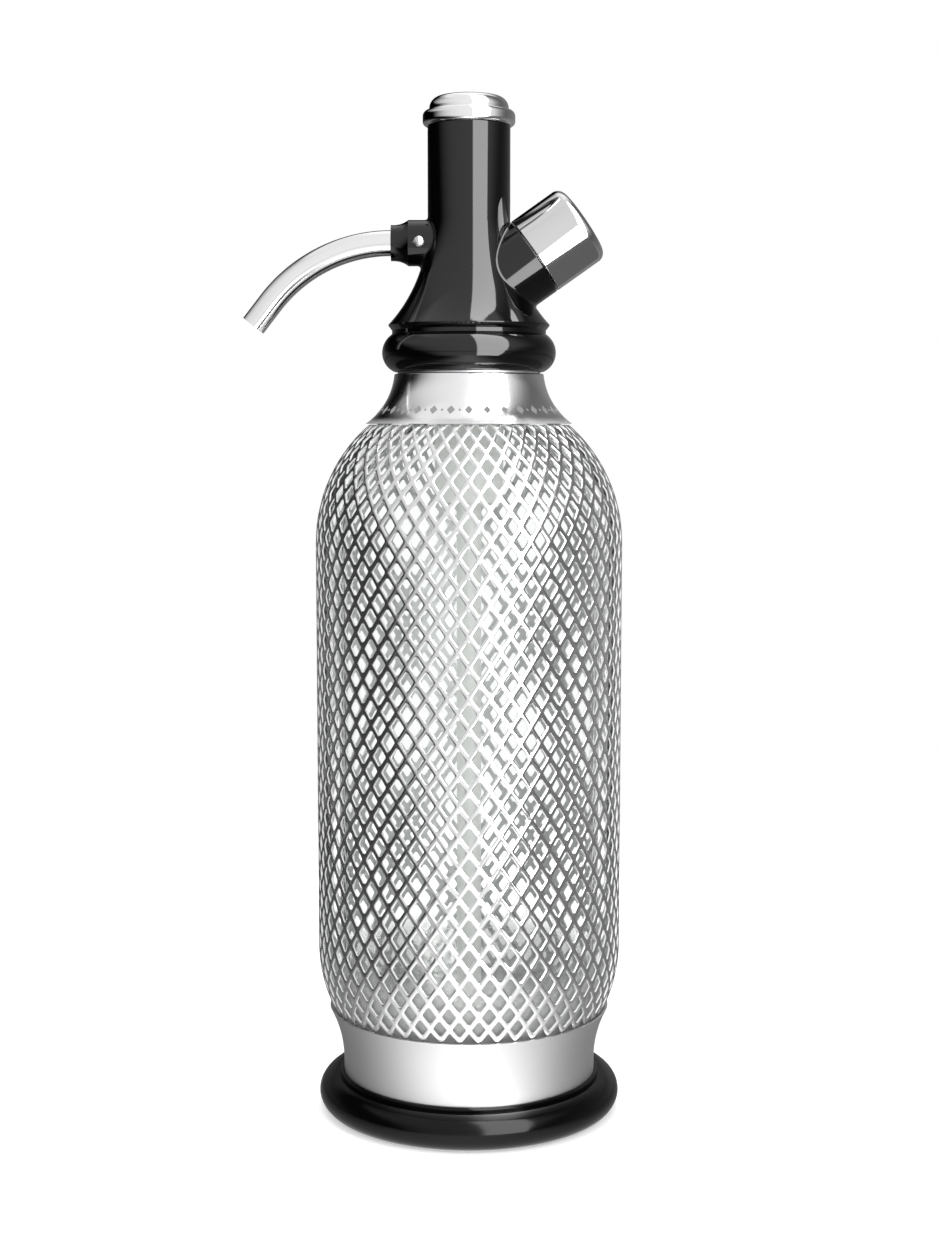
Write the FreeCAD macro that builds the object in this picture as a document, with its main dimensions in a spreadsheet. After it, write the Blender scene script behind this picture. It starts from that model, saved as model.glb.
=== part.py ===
import FreeCAD, Part
import math
import os
import Sketcher

# Soda siphon. Millimetres, +Z up, origin at the centre of the foot's standing plane.
# The spout points to -X, the charger holder to +X, and the front of the siphon faces -Y.

os.makedirs("parts", exist_ok=True)
V = FreeCAD.Vector
doc = FreeCAD.newDocument("soda_siphon")
sheet = doc.addObject("Spreadsheet::Sheet", "Sizes")

# ---------------------------------------------------------------- driving dimensions
SIZES = {
    # clearances
    "seat_gap": 0.05,           # between pieces that bear on each other
    "slip_fit": 0.08,           # radial, shaft in its own bore
    "free_gap": 0.3,            # radial or axial, between pieces that move past each other
    # foot ring: a moulded ring of round section with a web that carries the bottle
    "ring_overhang": 0.01,      # past the jacket
    "ring_tube": 6.19,
    "ring_flat": 0.05,
    "ring_lip_wall": 1.12,
    "ring_lip_rise": 2.9,
    "ring_lip_round": 0.7,
    "web_bottom": 8.0,
    "web_thick": 3.0,
    "web_hole": 18.0,
    "pad_thick": 4.0,
    "pad_margin": 1.0,          # round the glass's standing ring
    "pad_hole": 10.0,
    # steel band over the foot
    "band_inset": 8.72,         # inside the jacket
    "band_wall": 0.8,
    "band_straight": 6.0,
    "band_flare": 44.0,
    "band_height": 26.1,
    # mesh jacket
    "jacket_radius": 53.55,
    "jacket_wall": 1.3,
    "jacket_tuck": 0.6,
    "heel_level": 59.5,
    "heel_arc": 51.34,
    "shoulder_level": 202.2,
    "shoulder_arc": 54.16,
    # glass bottle
    "glass_gap": 0.4,
    "glass_wall": 6.0,
    "glass_floor": 8.0,
    "glass_foot_inset": 9.6,
    "glass_foot_arc": 10.0,
    "glass_foot_inner_arc": 18.0,
    "glass_heel_gap": 1.43,     # to the band
    "glass_heel_rise": 7.15,
    "punt_radius": 24.0,
    "punt_rise": 2.5,
    "neck_radius": 19.5,
    "neck_bore": 14.5,
    "bead_radius": 21.2,
    "bead_height": 6.2,
    "bead_chamfer": 0.8,
    "mouth_round": 0.9,
    "mouth_rise": 14.3125,      # above the bell's web
    # polished bell over the shoulder
    "bell_waist": 25.81,
    "bell_waist_drop": 1.14,    # below the mouth
    "bell_flare": 10.2,
    "bell_overlap": 1.2,        # past the jacket's top edge
    "bell_wall": 0.9,
    "bell_top_drop": 3.3,
    "bell_round": 0.5,
    "bell_web": 0.75,
    "bell_web_hole": 22.0,
    # threaded neck ring and its liner
    "neck_ring_wall": 1.1,
    "neck_ring_lip": 1.4,
    "neck_ring_drop": 0.4,
    "thread_depth": 0.8,
    "thread_pitch": 3.0,
    "thread_land": 0.7,
    "thread_root": 1.6,
    "thread_turns": 3.2,
    "thread_start": 1.6,
    # seal and tubes that hang from the head
    "gasket_thick": 2.2,
    "gasket_hole": 15.0,
    "gasket_edge": 21.0,
    "gauge_radius": 12.0,
    "gauge_wall": 1.5,
    "gauge_length": 50.0,
    "gauge_flange": 17.0,
    "gauge_flange_thick": 0.8,
    "gauge_vent": 1.1,
    "riser_radius": 4.3,
    "riser_wall": 1.3,
    "riser_clear": 8.0,
    "foot_wall": 1.3,
    "foot_grip": 5.0,
    "foot_drop": 6.0,
    "foot_slot": 2.4,
    # thread sleeve and bead ring of the head
    "sleeve_wall": 1.0,
    "sleeve_lap": 13.0,
    "bead_ring_drop": 2.8,      # below the mouth
    "bead_ring_radius": 30.15,
    "bead_ring_rise": 3.9,      # of its widest level
    "bead_upper_arc": 7.66,
    "bead_lower_arc": 7.16,
    "bead_toe": 1.2,
    "bead_toe_rise": 0.2,
    # valve block in the foot of the head
    "block_thick": 5.0,
    "block_rim": 6.4,
    "spigot_length": 4.3,
    "riser_grip": 6.4,
    "water_well": 1.8,
    "well_way": 0.85,
    "well_radius": 3.0,
    "seal_ring": 0.95,
    "gas_hole": 0.8,
    "gas_port": 13.5,
    "flap_thick": 0.7,
    "flap_inner": 12.3,
    "flap_outer": 14.4,
    # water duct past the charger
    "duct_radius": 1.8,
    "duct_bore": 1.0,
    "duct_offset": 12.6,
    "duct_upper_offset": 8.5,
    "duct_bend_rise": 24.0,
    "duct_elbow": 2.7,
    "duct_bend": 6.0,
    "duct_seat": 1.2,
    # housing; each rise is above the bottle's mouth
    "column_radius": 14.23,
    "column_rise": 81.6,
    "housing_wall": 2.4,
    "cone_rise": 48.47,
    "cone_arc": 51.25,
    "lip_rise": 13.58,
    "lip_edge": 0.35,
    "groove_radius": 26.7,
    "groove_height": 1.3,
    "groove_rise": 10.3,
    "skirt_bore": 23.6,
    "junction_fillet": 1.0,
    # spout
    "spout_rise": 41.5,         # above the mouth
    "socket_radius": 7.85,
    "socket_end": 20.9,
    "socket_bore": 6.6,
    "socket_floor": 12.6,
    "ferrule_nose": 6.0,
    "ferrule_tip": 6.15,
    "ferrule_arc": 8.5,
    "ferrule_shank": 6.6,
    "spout_radius": 4.4,
    "spout_wall": 1.0,
    "spout_bend": 53.0,
    "spout_angle": 52.0,
    "spout_straight": 9.9,
    "spout_seal_ring": 0.85,
    "pin_radius": 1.87,
    "pin_place": 17.2,
    "pin_dome": 0.35,
    # tap valve
    "valve_radius": 11.55,
    "valve_drop": 5.5,
    "valve_height": 31.0,
    "valve_room_drop": 1.2,
    "chamber_radius": 4.2,
    "chamber_floor": 6.3,
    "plug_thick": 2.7,
    "seat_rise": 12.5,          # above the spout's axis
    "port_length": 1.8,
    "port_radius": 2.6,
    "outlet_radius": 3.4,
    "outlet_height": 3.6,
    "gland_bore": 4.4,
    "gland_head": 5.0,
    "gland_head_thick": 1.6,
    "water_hole": 1.4,
    "outlet_offset": 9.0,
    "stem_radius": 1.6,
    "stem_seal_ring": 1.1,
    "disc_radius": 3.5,
    "disc_thick": 2.4,
    "stem_head": 2.6,
    "stem_head_thick": 1.1,
    # button
    "button_travel": 4.0,
    "plunger_gap": 0.33,
    "plunger_wall": 1.9,
    "plunger_skirt": 12.9,
    "plunger_web": 3.1,
    "plunger_boss": 4.0,
    "plunger_boss_length": 8.8,
    "plunger_crown": 3.2,
    "stem_bite": 7.6,
    "cap_radius": 13.65,
    "cap_wall": 1.0,
    "cap_side": 1.2,
    "cap_corner": 4.0,
    "cap_shoulder": 10.3,
    "cap_shoulder_rise": 4.95,
    "cap_height": 5.95,
    "trim_radius": 15.9,
    "trim_gap": 0.3,
    "trim_height": 4.6,
    "trim_skirt": 0.64,
    "trim_round": 1.9,
    "trim_foot_round": 1.55,
    "spring_radius": 6.5,
    "spring_wire": 0.45,
    "spring_turns": 5.5,
    # charger holder, measured along its own leaning axis
    "charger_lean": 35.1,
    "charger_rise": 21.15,      # of the crossing with the siphon's axis, above the mouth
    "nozzle_depth": 24.0,
    "holder_radius": 14.2,
    "sleeve_bore": 11.6,
    "sleeve_inner_end": 34.5,
    "sleeve_end": 51.3,
    "sleeve_round": 0.35,
    "boss_radius": 5.8,
    "boss_length": 5.0,
    "boss_bore": 4.5,
    "boss_floor": 1.4,
    "nozzle_thick": 1.7,
    "needle_radius": 0.8,
    "needle_bore": 0.35,
    "needle_reach": 1.2,
    "charger_seal_thick": 1.3,
    "charger_seal_hole": 1.3,
    "charger_radius": 9.15,
    "charger_length": 65.15,
    "charger_neck": 4.25,
    "charger_neck_length": 8.0,
    "charger_taper": 12.0,
    "charger_dimple": 1.1,
    "charger_dimple_depth": 1.6,
    "cup_bore": 9.45,
    "cup_wall": 1.25,
    "cup_start": 31.0,
    "cup_thread_depth": 0.6,
    "cup_thread_pitch": 2.0,
    "cup_thread_land": 0.5,
    "cup_thread_root": 1.2,
    "cup_thread_turns": 4.0,
    "cup_thread_start": 11.5,
    "cup_flange": 12.5,
    "cup_flange_thick": 2.0,
    "charger_pad_thick": 1.1,
    "charger_pad_radius": 8.0,
    "shell_wall": 1.5,
    "shell_edge": 3.2,
    "shell_dome": 0.6,
    # screws that hold the housing down on the valve block
    "screw_circle": 21.2,
    "screw_radius": 1.25,
    "screw_head": 2.3,
    "screw_head_thick": 1.5,
    "screw_slot": 0.6,
    "screw_length": 11.6,
    "screw_boss": 3.2,
    "screw_boss_length": 5.6,
}
for row, (alias, number) in enumerate(SIZES.items(), start=1):
    sheet.set(f"A{row}", str(number))
    sheet.setAlias(f"A{row}", alias)
doc.recompute()


class Size:
    """A length of the model: its number now, and the sheet expression that gives it."""

    def __init__(self, number, text):
        self.number = number
        self.text = text

    def joined(self, sign, other, number):
        return Size(number, f"({self.text} {sign} {as_size(other).text})")

    def __add__(self, other):
        return self.joined("+", other, self.number + as_size(other).number)

    def __sub__(self, other):
        return self.joined("-", other, self.number - as_size(other).number)

    def __mul__(self, other):
        return self.joined("*", other, self.number * as_size(other).number)

    def __truediv__(self, other):
        return self.joined("/", other, self.number / as_size(other).number)

    def __radd__(self, other):
        return as_size(other) + self

    def __rsub__(self, other):
        return as_size(other) - self

    def __rmul__(self, other):
        return as_size(other) * self

    def __neg__(self):
        return self * -1


class Sheet:
    """Gives each cell of the sheet as a Size, by its alias."""

    def __getattr__(self, alias):
        return Size(float(sheet.get(alias)), f"Sizes.{alias}")


def as_size(length):
    return length if isinstance(length, Size) else Size(float(length), str(length))


def root(length):
    return Size(math.sqrt(length.number), f"sqrt({length.text})")


def sine(angle):
    return Size(math.sin(math.radians(angle.number)), f"sin({angle.text})")


def cosine(angle):
    return Size(math.cos(math.radians(angle.number)), f"cos({angle.text})")


def crown(across, rise):
    """Radius of the dome that falls by rise at a distance across from its own axis."""
    return (across * across + rise * rise) / (rise * 2)


def rise_on(arc, offset):
    """Height of a circle of radius arc above its centre, at a sideways offset."""
    return root(arc * arc - offset * offset)


d = Sheet()
parts = {}

# ---------------------------------------------------------------- sketching and solids


class Bend:
    """An arc between two points of an outline. side 1 has its centre on the left of the way."""

    def __init__(self, radius, side):
        self.radius = radius
        self.side = side


def left(radius):
    return Bend(radius, 1)


def right(radius):
    return Bend(radius, -1)


def arc_between(start, end, bend):
    """The minor arc from start to end, as a curve that runs anticlockwise."""
    radius = bend.radius.number
    chord = end - start
    middle = (start + end) * 0.5
    away = math.sqrt(max(radius * radius - chord.Length * chord.Length / 4, 0.0))
    normal = V(-chord.y, chord.x, 0).normalize() * bend.side
    centre = middle + normal * away
    first, last = (start, end) if bend.side > 0 else (end, start)
    turn_from = math.atan2(first.y - centre.y, first.x - centre.x)
    turn_to = math.atan2(last.y - centre.y, last.x - centre.x)
    circle = Part.Circle(centre, V(0, 0, 1), radius)
    return Part.ArcOfCircle(circle, turn_from, turn_to)


def origin_plane(body, role):
    return [feature for feature in body.Origin.OriginFeatures if feature.Role == role][0]


def new_sketch(body, name, plane="XZ_Plane"):
    sketch = body.newObject("Sketcher::SketchObject", name)
    sketch.AttachmentSupport = [(origin_plane(body, plane), "")]
    sketch.MapMode = "FlatFace"
    return sketch


def bind(sketch, kind, places, length):
    """Adds a dimension to the sketch and ties it to the sheet."""
    if isinstance(length, (int, float)) and length == 0:
        axis = -2 if kind == "DistanceX" else -1
        sketch.addConstraint(Sketcher.Constraint("PointOnObject", places[2], places[3], axis))
        return
    index = sketch.addConstraint(Sketcher.Constraint(kind, *places, length.number))
    sketch.setExpression(f"Constraints[{index}]", length.text)


def draw(sketch, outline, closed=True):
    """Draws points (across, up) joined by lines, or by the Bend that stands between two points."""
    corners = []
    bends = []
    for item in outline:
        if isinstance(item, Bend):
            bends[-1] = item
        else:
            corners.append(item)
            bends.append(None)
    count = len(corners)
    flat = [V(as_size(x).number, as_size(y).number, 0) for x, y in corners]
    runs = count if closed else count - 1
    ends = []
    for index in range(runs):
        start, end = flat[index], flat[(index + 1) % count]
        bend = bends[index]
        if bend is None:
            edge = sketch.addGeometry(Part.LineSegment(start, end), False)
            ends.append((edge, 1, 2))
        else:
            edge = sketch.addGeometry(arc_between(start, end, bend), False)
            ends.append((edge, 1, 2) if bend.side > 0 else (edge, 2, 1))
    for index in range(runs):
        following = index + 1
        if following < runs or closed:
            edge, _, tail = ends[index]
            next_edge, head, _ = ends[following % runs]
            sketch.addConstraint(Sketcher.Constraint("Coincident", edge, tail, next_edge, head))
    for index, (across, up) in enumerate(corners):
        edge, head, tail = ends[min(index, runs - 1)]
        place = head if index < runs else tail
        bind(sketch, "DistanceX", (-1, 1, edge, place), across)
        bind(sketch, "DistanceY", (-1, 1, edge, place), up)
    for index in range(runs):
        if bends[index] is not None:
            bind(sketch, "Radius", (ends[index][0],), bends[index].radius)


def place(thing, at=(0, 0, 0), axis=None, angle=None):
    """Sets and binds a placement: a turn about axis by angle, then a move to at."""
    turn = FreeCAD.Rotation() if axis is None else FreeCAD.Rotation(axis, as_size(angle).number)
    thing.Placement = FreeCAD.Placement(V(*[as_size(x).number for x in at]), turn)
    for name, length in zip("xyz", at):
        if isinstance(length, Size):
            thing.setExpression(f"Placement.Base.{name}", length.text)
    if isinstance(angle, Size):
        thing.setExpression("Placement.Rotation.Angle", angle.text)


def upright(thing):
    """The siphon's own axis."""
    place(thing)


def spoutward(thing):
    """Local +Z runs out along the spout's axis, from the siphon's axis."""
    place(thing, (0, 0, spout_level), V(0, 1, 0), -90)


def chargerward(thing):
    """Local +Z runs out along the charger's axis, from the bottom of its nozzle boss."""
    foot_x = -(d.nozzle_depth * cosine(d.charger_lean))
    foot_z = charger_cross - d.nozzle_depth * sine(d.charger_lean)
    place(thing, (foot_x, 0, foot_z), V(0, 1, 0), 90 - d.charger_lean)


def turned(name, outline, pose=upright):
    """A body turned from a half outline of (radius, height) about its local Z axis."""
    body = doc.addObject("PartDesign::Body", name)
    sketch = new_sketch(body, name + "_outline")
    draw(sketch, outline)
    revolution = body.newObject("PartDesign::Revolution", name + "_turning")
    revolution.Profile = sketch
    revolution.ReferenceAxis = (sketch, ["V_Axis"])
    revolution.Angle = 360
    pose(body)
    return body


def ring(name, inner, outer, bottom, top, pose=upright):
    return turned(name, [(inner, bottom), (outer, bottom), (outer, top), (inner, top)], pose)


def seal(name, section, middle, level, pose=upright):
    """An O-ring."""
    body = doc.addObject("PartDesign::Body", name)
    sketch = new_sketch(body, name + "_section")
    centre = V(middle.number, level.number, 0)
    sketch.addGeometry(Part.Circle(centre, V(0, 0, 1), section.number), False)
    bind(sketch, "DistanceX", (-1, 1, 0, 3), middle)
    bind(sketch, "DistanceY", (-1, 1, 0, 3), level)
    bind(sketch, "Radius", (0,), section)
    revolution = body.newObject("PartDesign::Revolution", name + "_turning")
    revolution.Profile = sketch
    revolution.ReferenceAxis = (sketch, ["V_Axis"])
    revolution.Angle = 360
    pose(body)
    return body


def threaded(body, name, crest, depth, land, foot, pitch, turns, start):
    """Adds a helical ridge of trapezoid section round a turned body."""
    sunk = crest - depth - d.seat_gap
    half_land = land / 2
    half_foot = foot / 2
    profile = new_sketch(body, name + "_tooth")
    draw(profile, [
        (sunk, start - half_foot), (crest, start - half_land),
        (crest, start + half_land), (sunk, start + half_foot),
    ])
    helix = body.newObject("PartDesign::AdditiveHelix", name + "_thread")
    helix.Profile = profile
    helix.ReferenceAxis = (profile, ["V_Axis"])
    helix.Mode = 0
    helix.setExpression("Pitch", pitch.text)
    helix.setExpression("Height", (pitch * turns).text)
    helix.Pitch = pitch.number
    helix.Height = pitch.number * turns.number


def rod(name, radius, bottom, top, across=0, forward=0):
    """An upright cylinder from bottom to top, on the siphon's axis or beside it."""
    cylinder = doc.addObject("Part::Cylinder", name)
    cylinder.setExpression("Radius", radius.text)
    cylinder.setExpression("Height", (top - bottom).text)
    place(cylinder, (across, forward, bottom))
    return cylinder


def crosswise(name, radius, start, length, level, axis, angle):
    """A cylinder that lies level: it starts at start and runs length along the turned Z axis."""
    cylinder = doc.addObject("Part::Cylinder", name)
    cylinder.setExpression("Radius", radius.text)
    cylinder.setExpression("Height", length.text)
    place(cylinder, (start[0], start[1], level), axis, angle)
    return cylinder


def fused(name, pieces):
    union = doc.addObject("Part::MultiFuse", name)
    union.Shapes = pieces
    return union


def without(name, base, tools):
    """The base with the tools cut from it."""
    cut = doc.addObject("Part::Cut", name)
    cut.Base = base
    cut.Tool = tools[0] if len(tools) == 1 else fused(name + "_tools", tools)
    return cut


def keep(name, thing):
    """Names a finished sub-part. Its label is also its file's name."""
    thing.Label = name
    parts[name] = thing
    return thing


# ---------------------------------------------------------------- foot ring, pad and band
web_top = d.web_bottom + d.web_thick
ring_outer = d.jacket_radius + d.ring_overhang
ring_mid = ring_outer - d.ring_tube
ring_level = d.ring_tube - d.ring_flat
foot_half = rise_on(d.ring_tube, ring_level)
web_root = ring_mid - rise_on(d.ring_tube, d.web_bottom - ring_level)
band_radius = d.jacket_radius - d.band_inset
ring_bore = band_radius + d.slip_fit
crease = ring_bore + d.ring_lip_wall
crease_level = ring_level + rise_on(d.ring_tube, ring_mid - crease)
lip_top = web_top + d.ring_lip_rise
keep("base_ring", turned("BaseRing", [
    (d.web_hole, d.web_bottom), (web_root, d.web_bottom), left(d.ring_tube),
    (ring_mid - foot_half, 0), (ring_mid + foot_half, 0), left(d.ring_tube),
    (ring_outer, ring_level), left(d.ring_tube),
    (crease, crease_level), (crease, lip_top - d.ring_lip_round), left(d.ring_lip_round),
    (crease - d.ring_lip_round, lip_top), (ring_bore, lip_top),
    (ring_bore, web_top), (d.web_hole, web_top),
]))

band_inner = band_radius - d.band_wall
glass_heel = band_inner - d.glass_heel_gap
glass_foot = glass_heel - d.glass_foot_inset
pad_top = web_top + d.pad_thick
keep("base_pad", ring("BasePad", d.pad_hole, glass_foot + d.pad_margin, web_top, pad_top))

band_flare_level = web_top + d.band_straight
band_top = web_top + d.band_height
flare_rise = band_top - band_flare_level
flare_centre = band_radius + d.band_flare
band_inner_arc = d.band_flare + d.band_wall
rim_outer = flare_centre - rise_on(d.band_flare, flare_rise)
rim_inner = flare_centre - rise_on(band_inner_arc, flare_rise)
keep("base_collar", turned("BaseCollar", [
    (band_inner, web_top), (band_radius, web_top), (band_radius, band_flare_level),
    right(d.band_flare), (rim_outer, band_top), (rim_inner, band_top),
    left(band_inner_arc), (band_inner, band_flare_level),
]))

# ---------------------------------------------------------------- mesh jacket, as its shell
heel_centre = d.jacket_radius - d.heel_arc
shoulder_centre = d.jacket_radius - d.shoulder_arc
jacket_inner = d.jacket_radius - d.jacket_wall
jacket_bottom = band_top - d.jacket_tuck
jacket_mouth = d.bell_waist + d.bell_flare - d.bell_overlap
jacket_top = d.shoulder_level + rise_on(d.shoulder_arc, jacket_mouth - shoulder_centre)


def on_heel(sunk, level):
    """Radius at a level of the heel, sunk below the jacket's outer face."""
    return heel_centre + rise_on(d.heel_arc - sunk, d.heel_level - level)


def on_shoulder(sunk, level):
    return shoulder_centre + rise_on(d.shoulder_arc - sunk, level - d.shoulder_level)


keep("mesh_jacket", turned("MeshJacket", [
    (on_heel(0, jacket_bottom), jacket_bottom), left(d.heel_arc),
    (d.jacket_radius, d.heel_level), (d.jacket_radius, d.shoulder_level),
    left(d.shoulder_arc), (jacket_mouth, jacket_top),
    (on_shoulder(d.jacket_wall, jacket_top), jacket_top),
    right(d.shoulder_arc - d.jacket_wall), (jacket_inner, d.shoulder_level),
    (jacket_inner, d.heel_level), right(d.heel_arc - d.jacket_wall),
    (on_heel(d.jacket_wall, jacket_bottom), jacket_bottom),
]))

# ---------------------------------------------------------------- glass bottle
glass_sunk = d.jacket_wall + d.glass_gap
bore_sunk = glass_sunk + d.glass_wall
glass_radius = d.jacket_radius - glass_sunk
glass_bore = d.jacket_radius - bore_sunk
floor_top = pad_top + d.glass_floor
heel_bottom = pad_top + d.glass_heel_rise
neck_start = d.shoulder_level + rise_on(d.shoulder_arc - glass_sunk, d.neck_radius - shoulder_centre)
bell_web_level = d.shoulder_level + d.free_gap / 2 + rise_on(
    d.shoulder_arc - glass_sunk, d.bell_web_hole - shoulder_centre)
mouth_level = bell_web_level + d.mouth_rise
neck_bore_start = d.shoulder_level + rise_on(d.shoulder_arc - bore_sunk, d.neck_bore - shoulder_centre)
bead_bottom = mouth_level - d.bead_height
bead_full = bead_bottom + d.bead_chamfer
heel_inside = on_heel(bore_sunk, band_top)
keep("glass_bottle", turned("GlassBottle", [
    (0, pad_top + d.punt_rise), (d.punt_radius, pad_top), (glass_foot, pad_top),
    left(d.glass_foot_arc), (glass_heel, heel_bottom),
    (on_heel(glass_sunk, band_top), band_top), left(d.heel_arc - glass_sunk),
    (glass_radius, d.heel_level), (glass_radius, d.shoulder_level),
    left(d.shoulder_arc - glass_sunk), (d.neck_radius, neck_start),
    (d.neck_radius, bead_bottom), (d.bead_radius, bead_full),
    (d.bead_radius, mouth_level - d.mouth_round), left(d.mouth_round),
    (d.bead_radius - d.mouth_round, mouth_level),
    (d.neck_bore + d.mouth_round, mouth_level), left(d.mouth_round),
    (d.neck_bore, mouth_level - d.mouth_round), (d.neck_bore, neck_bore_start),
    right(d.shoulder_arc - bore_sunk), (glass_bore, d.shoulder_level),
    (glass_bore, d.heel_level), right(d.heel_arc - bore_sunk), (heel_inside, band_top),
    right(d.glass_foot_inner_arc), (glass_foot - d.glass_wall, floor_top),
    (0, floor_top + d.punt_rise / 2),
]))

# ---------------------------------------------------------------- bell over the shoulder
bell_waist_level = mouth_level - d.bell_waist_drop
bell_top = mouth_level - d.bell_top_drop
bell_foot = jacket_top + d.free_gap
bell_arc = crown(bell_waist_level - bell_foot, d.bell_flare)
bell_centre = d.bell_waist + bell_arc
bell_inner_arc = bell_arc + d.bell_wall


def on_bell(arc, level):
    return bell_centre - rise_on(arc, bell_waist_level - level)


bell_round_level = bell_top - d.bell_round
bell_outer_top = on_bell(bell_arc, bell_round_level)
bell_inner_top = on_bell(bell_inner_arc, bell_round_level)
bell_web_top = bell_web_level + d.bell_web
keep("shoulder_collar", turned("ShoulderCollar", [
    (on_bell(bell_arc, bell_foot), bell_foot), right(bell_arc),
    (bell_outer_top, bell_round_level), left(d.bell_round),
    (bell_outer_top - d.bell_round, bell_top), (bell_inner_top, bell_top),
    (bell_inner_top, bell_round_level), left(bell_inner_arc),
    (on_bell(bell_inner_arc, bell_web_top), bell_web_top), (d.bell_web_hole, bell_web_top),
    (d.bell_web_hole, bell_web_level), (on_bell(bell_inner_arc, bell_web_level), bell_web_level),
    left(bell_inner_arc), (on_bell(bell_inner_arc, bell_foot), bell_foot),
]))

# ---------------------------------------------------------------- neck ring and liner
ring_inner = d.bead_radius + d.free_gap
ring_root = ring_inner + d.neck_ring_wall
ring_crest = ring_root + d.thread_depth
ring_bottom = bell_web_top + d.seat_gap
ring_top = mouth_level - d.neck_ring_drop
lip_thick = d.neck_ring_lip
neck_ring = turned("NeckRing", [
    (d.neck_radius + d.free_gap * 2, ring_bottom), (ring_root, ring_bottom), (ring_root, ring_top),
    (ring_inner, ring_top), (ring_inner, ring_bottom + lip_thick),
    (d.neck_radius + d.free_gap * 2, ring_bottom + lip_thick),
])
threaded(neck_ring, "NeckRing", ring_crest, d.thread_depth, d.thread_land, d.thread_root,
         d.thread_pitch, d.thread_turns, ring_bottom + d.thread_start)
keep("neck_ring", neck_ring)
keep("neck_liner", ring("NeckLiner", d.neck_radius + d.slip_fit, ring_inner - d.slip_fit,
                        ring_bottom + lip_thick + d.seat_gap, bead_bottom - d.seat_gap))

# ---------------------------------------------------------------- gasket and hanging tubes
gasket_bottom = mouth_level + d.seat_gap
gasket_top = gasket_bottom + d.gasket_thick
block_bottom = gasket_top + d.seat_gap
flange_top = block_bottom - d.flap_thick - d.free_gap
flange_bottom = flange_top - d.gauge_flange_thick
flange_seat = flange_bottom - d.seat_gap
seat_edge = d.gauge_flange + d.seat_gap
keep("head_gasket", turned("HeadGasket", [
    (d.gasket_hole, gasket_bottom), (d.gasket_edge, gasket_bottom), (d.gasket_edge, gasket_top),
    (seat_edge, gasket_top), (seat_edge, flange_seat), (d.gasket_hole, flange_seat),
]))

# the tube hangs by its flange in a step of the gasket, and the flange's vents let the gas through
gauge_bore = d.gauge_radius - d.gauge_wall
gauge_top = block_bottom - d.seat_gap
gauge_blank = turned("GaugeBlank", [
    (gauge_bore, block_bottom - d.gauge_length), (d.gauge_radius, block_bottom - d.gauge_length),
    (d.gauge_radius, flange_bottom), (d.gauge_flange, flange_bottom), (d.gauge_flange, flange_top),
    (d.gauge_radius, flange_top), (d.gauge_radius, gauge_top), (gauge_bore, gauge_top),
])
gauge_vents = []
for index, bearing in enumerate(range(0, 360, 45)):
    gauge_vents.append(rod(f"GaugeVent{index}", d.gauge_vent, flange_bottom - d.free_gap,
                           flange_top + d.free_gap, d.gas_port * cosine(as_size(bearing)),
                           d.gas_port * sine(as_size(bearing))))
keep("measuring_tube", without("MeasuringTube", gauge_blank, gauge_vents))

spigot_bottom = block_bottom - d.spigot_length
riser_top = spigot_bottom + d.riser_grip
riser_bottom = floor_top + d.riser_clear
riser_bore = d.riser_radius - d.riser_wall
keep("riser_tube", ring("RiserTube", riser_bore, d.riser_radius, riser_bottom, riser_top))

foot_bore = d.riser_radius + d.slip_fit
foot_outer = foot_bore + d.foot_wall
foot_bottom = riser_bottom - d.foot_drop
foot_blank = turned("RiserFootBlank", [
    (riser_bore, foot_bottom), (foot_outer, foot_bottom), (foot_outer, riser_bottom + d.foot_grip),
    (foot_bore, riser_bottom + d.foot_grip), (foot_bore, riser_bottom - d.seat_gap),
    (riser_bore, riser_bottom - d.seat_gap),
])
foot_slots = []
slot_length = foot_outer * 3
for index, sides in enumerate(((slot_length, d.foot_slot), (d.foot_slot, slot_length))):
    slot = doc.addObject("Part::Box", f"RiserFootSlot{index}")
    slot.setExpression("Length", sides[0].text)
    slot.setExpression("Width", sides[1].text)
    slot.setExpression("Height", (d.foot_drop / 2 + d.free_gap).text)
    place(slot, (-(sides[0] / 2), -(sides[1] / 2), foot_bottom - d.free_gap))
    foot_slots.append(slot)
keep("riser_foot", without("RiserFoot", foot_blank, foot_slots))

# ---------------------------------------------------------------- head: sleeve, bead and block
column_top = mouth_level + d.column_rise
cone_level = mouth_level + d.cone_rise
lip_level = mouth_level + d.lip_rise
spout_level = mouth_level + d.spout_rise
seat_level = spout_level + d.seat_rise
charger_cross = mouth_level + d.charger_rise
duct_bend_level = mouth_level + d.duct_bend_rise
sleeve_inner = ring_crest + d.free_gap
sleeve_outer = sleeve_inner + d.sleeve_wall
sleeve_bottom = mouth_level - d.sleeve_lap
bead_bore = sleeve_outer + d.seat_gap
bead_ring_bottom = mouth_level - d.bead_ring_drop
bead_ring_widest = mouth_level + d.bead_ring_rise
groove_bottom = mouth_level + d.groove_rise
groove_top = groove_bottom + d.groove_height
keep("thread_sleeve", ring("ThreadSleeve", sleeve_inner, sleeve_outer,
                           sleeve_bottom, block_bottom - d.seat_gap))
keep("head_ring", turned("HeadRing", [
    (bead_bore, bead_ring_bottom),
    (bead_bore + d.bead_toe, bead_ring_bottom + d.bead_toe_rise), left(d.bead_lower_arc),
    (d.bead_ring_radius, bead_ring_widest), left(d.bead_upper_arc),
    (d.groove_radius, groove_bottom), (bead_bore, groove_bottom),
]))

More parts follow.
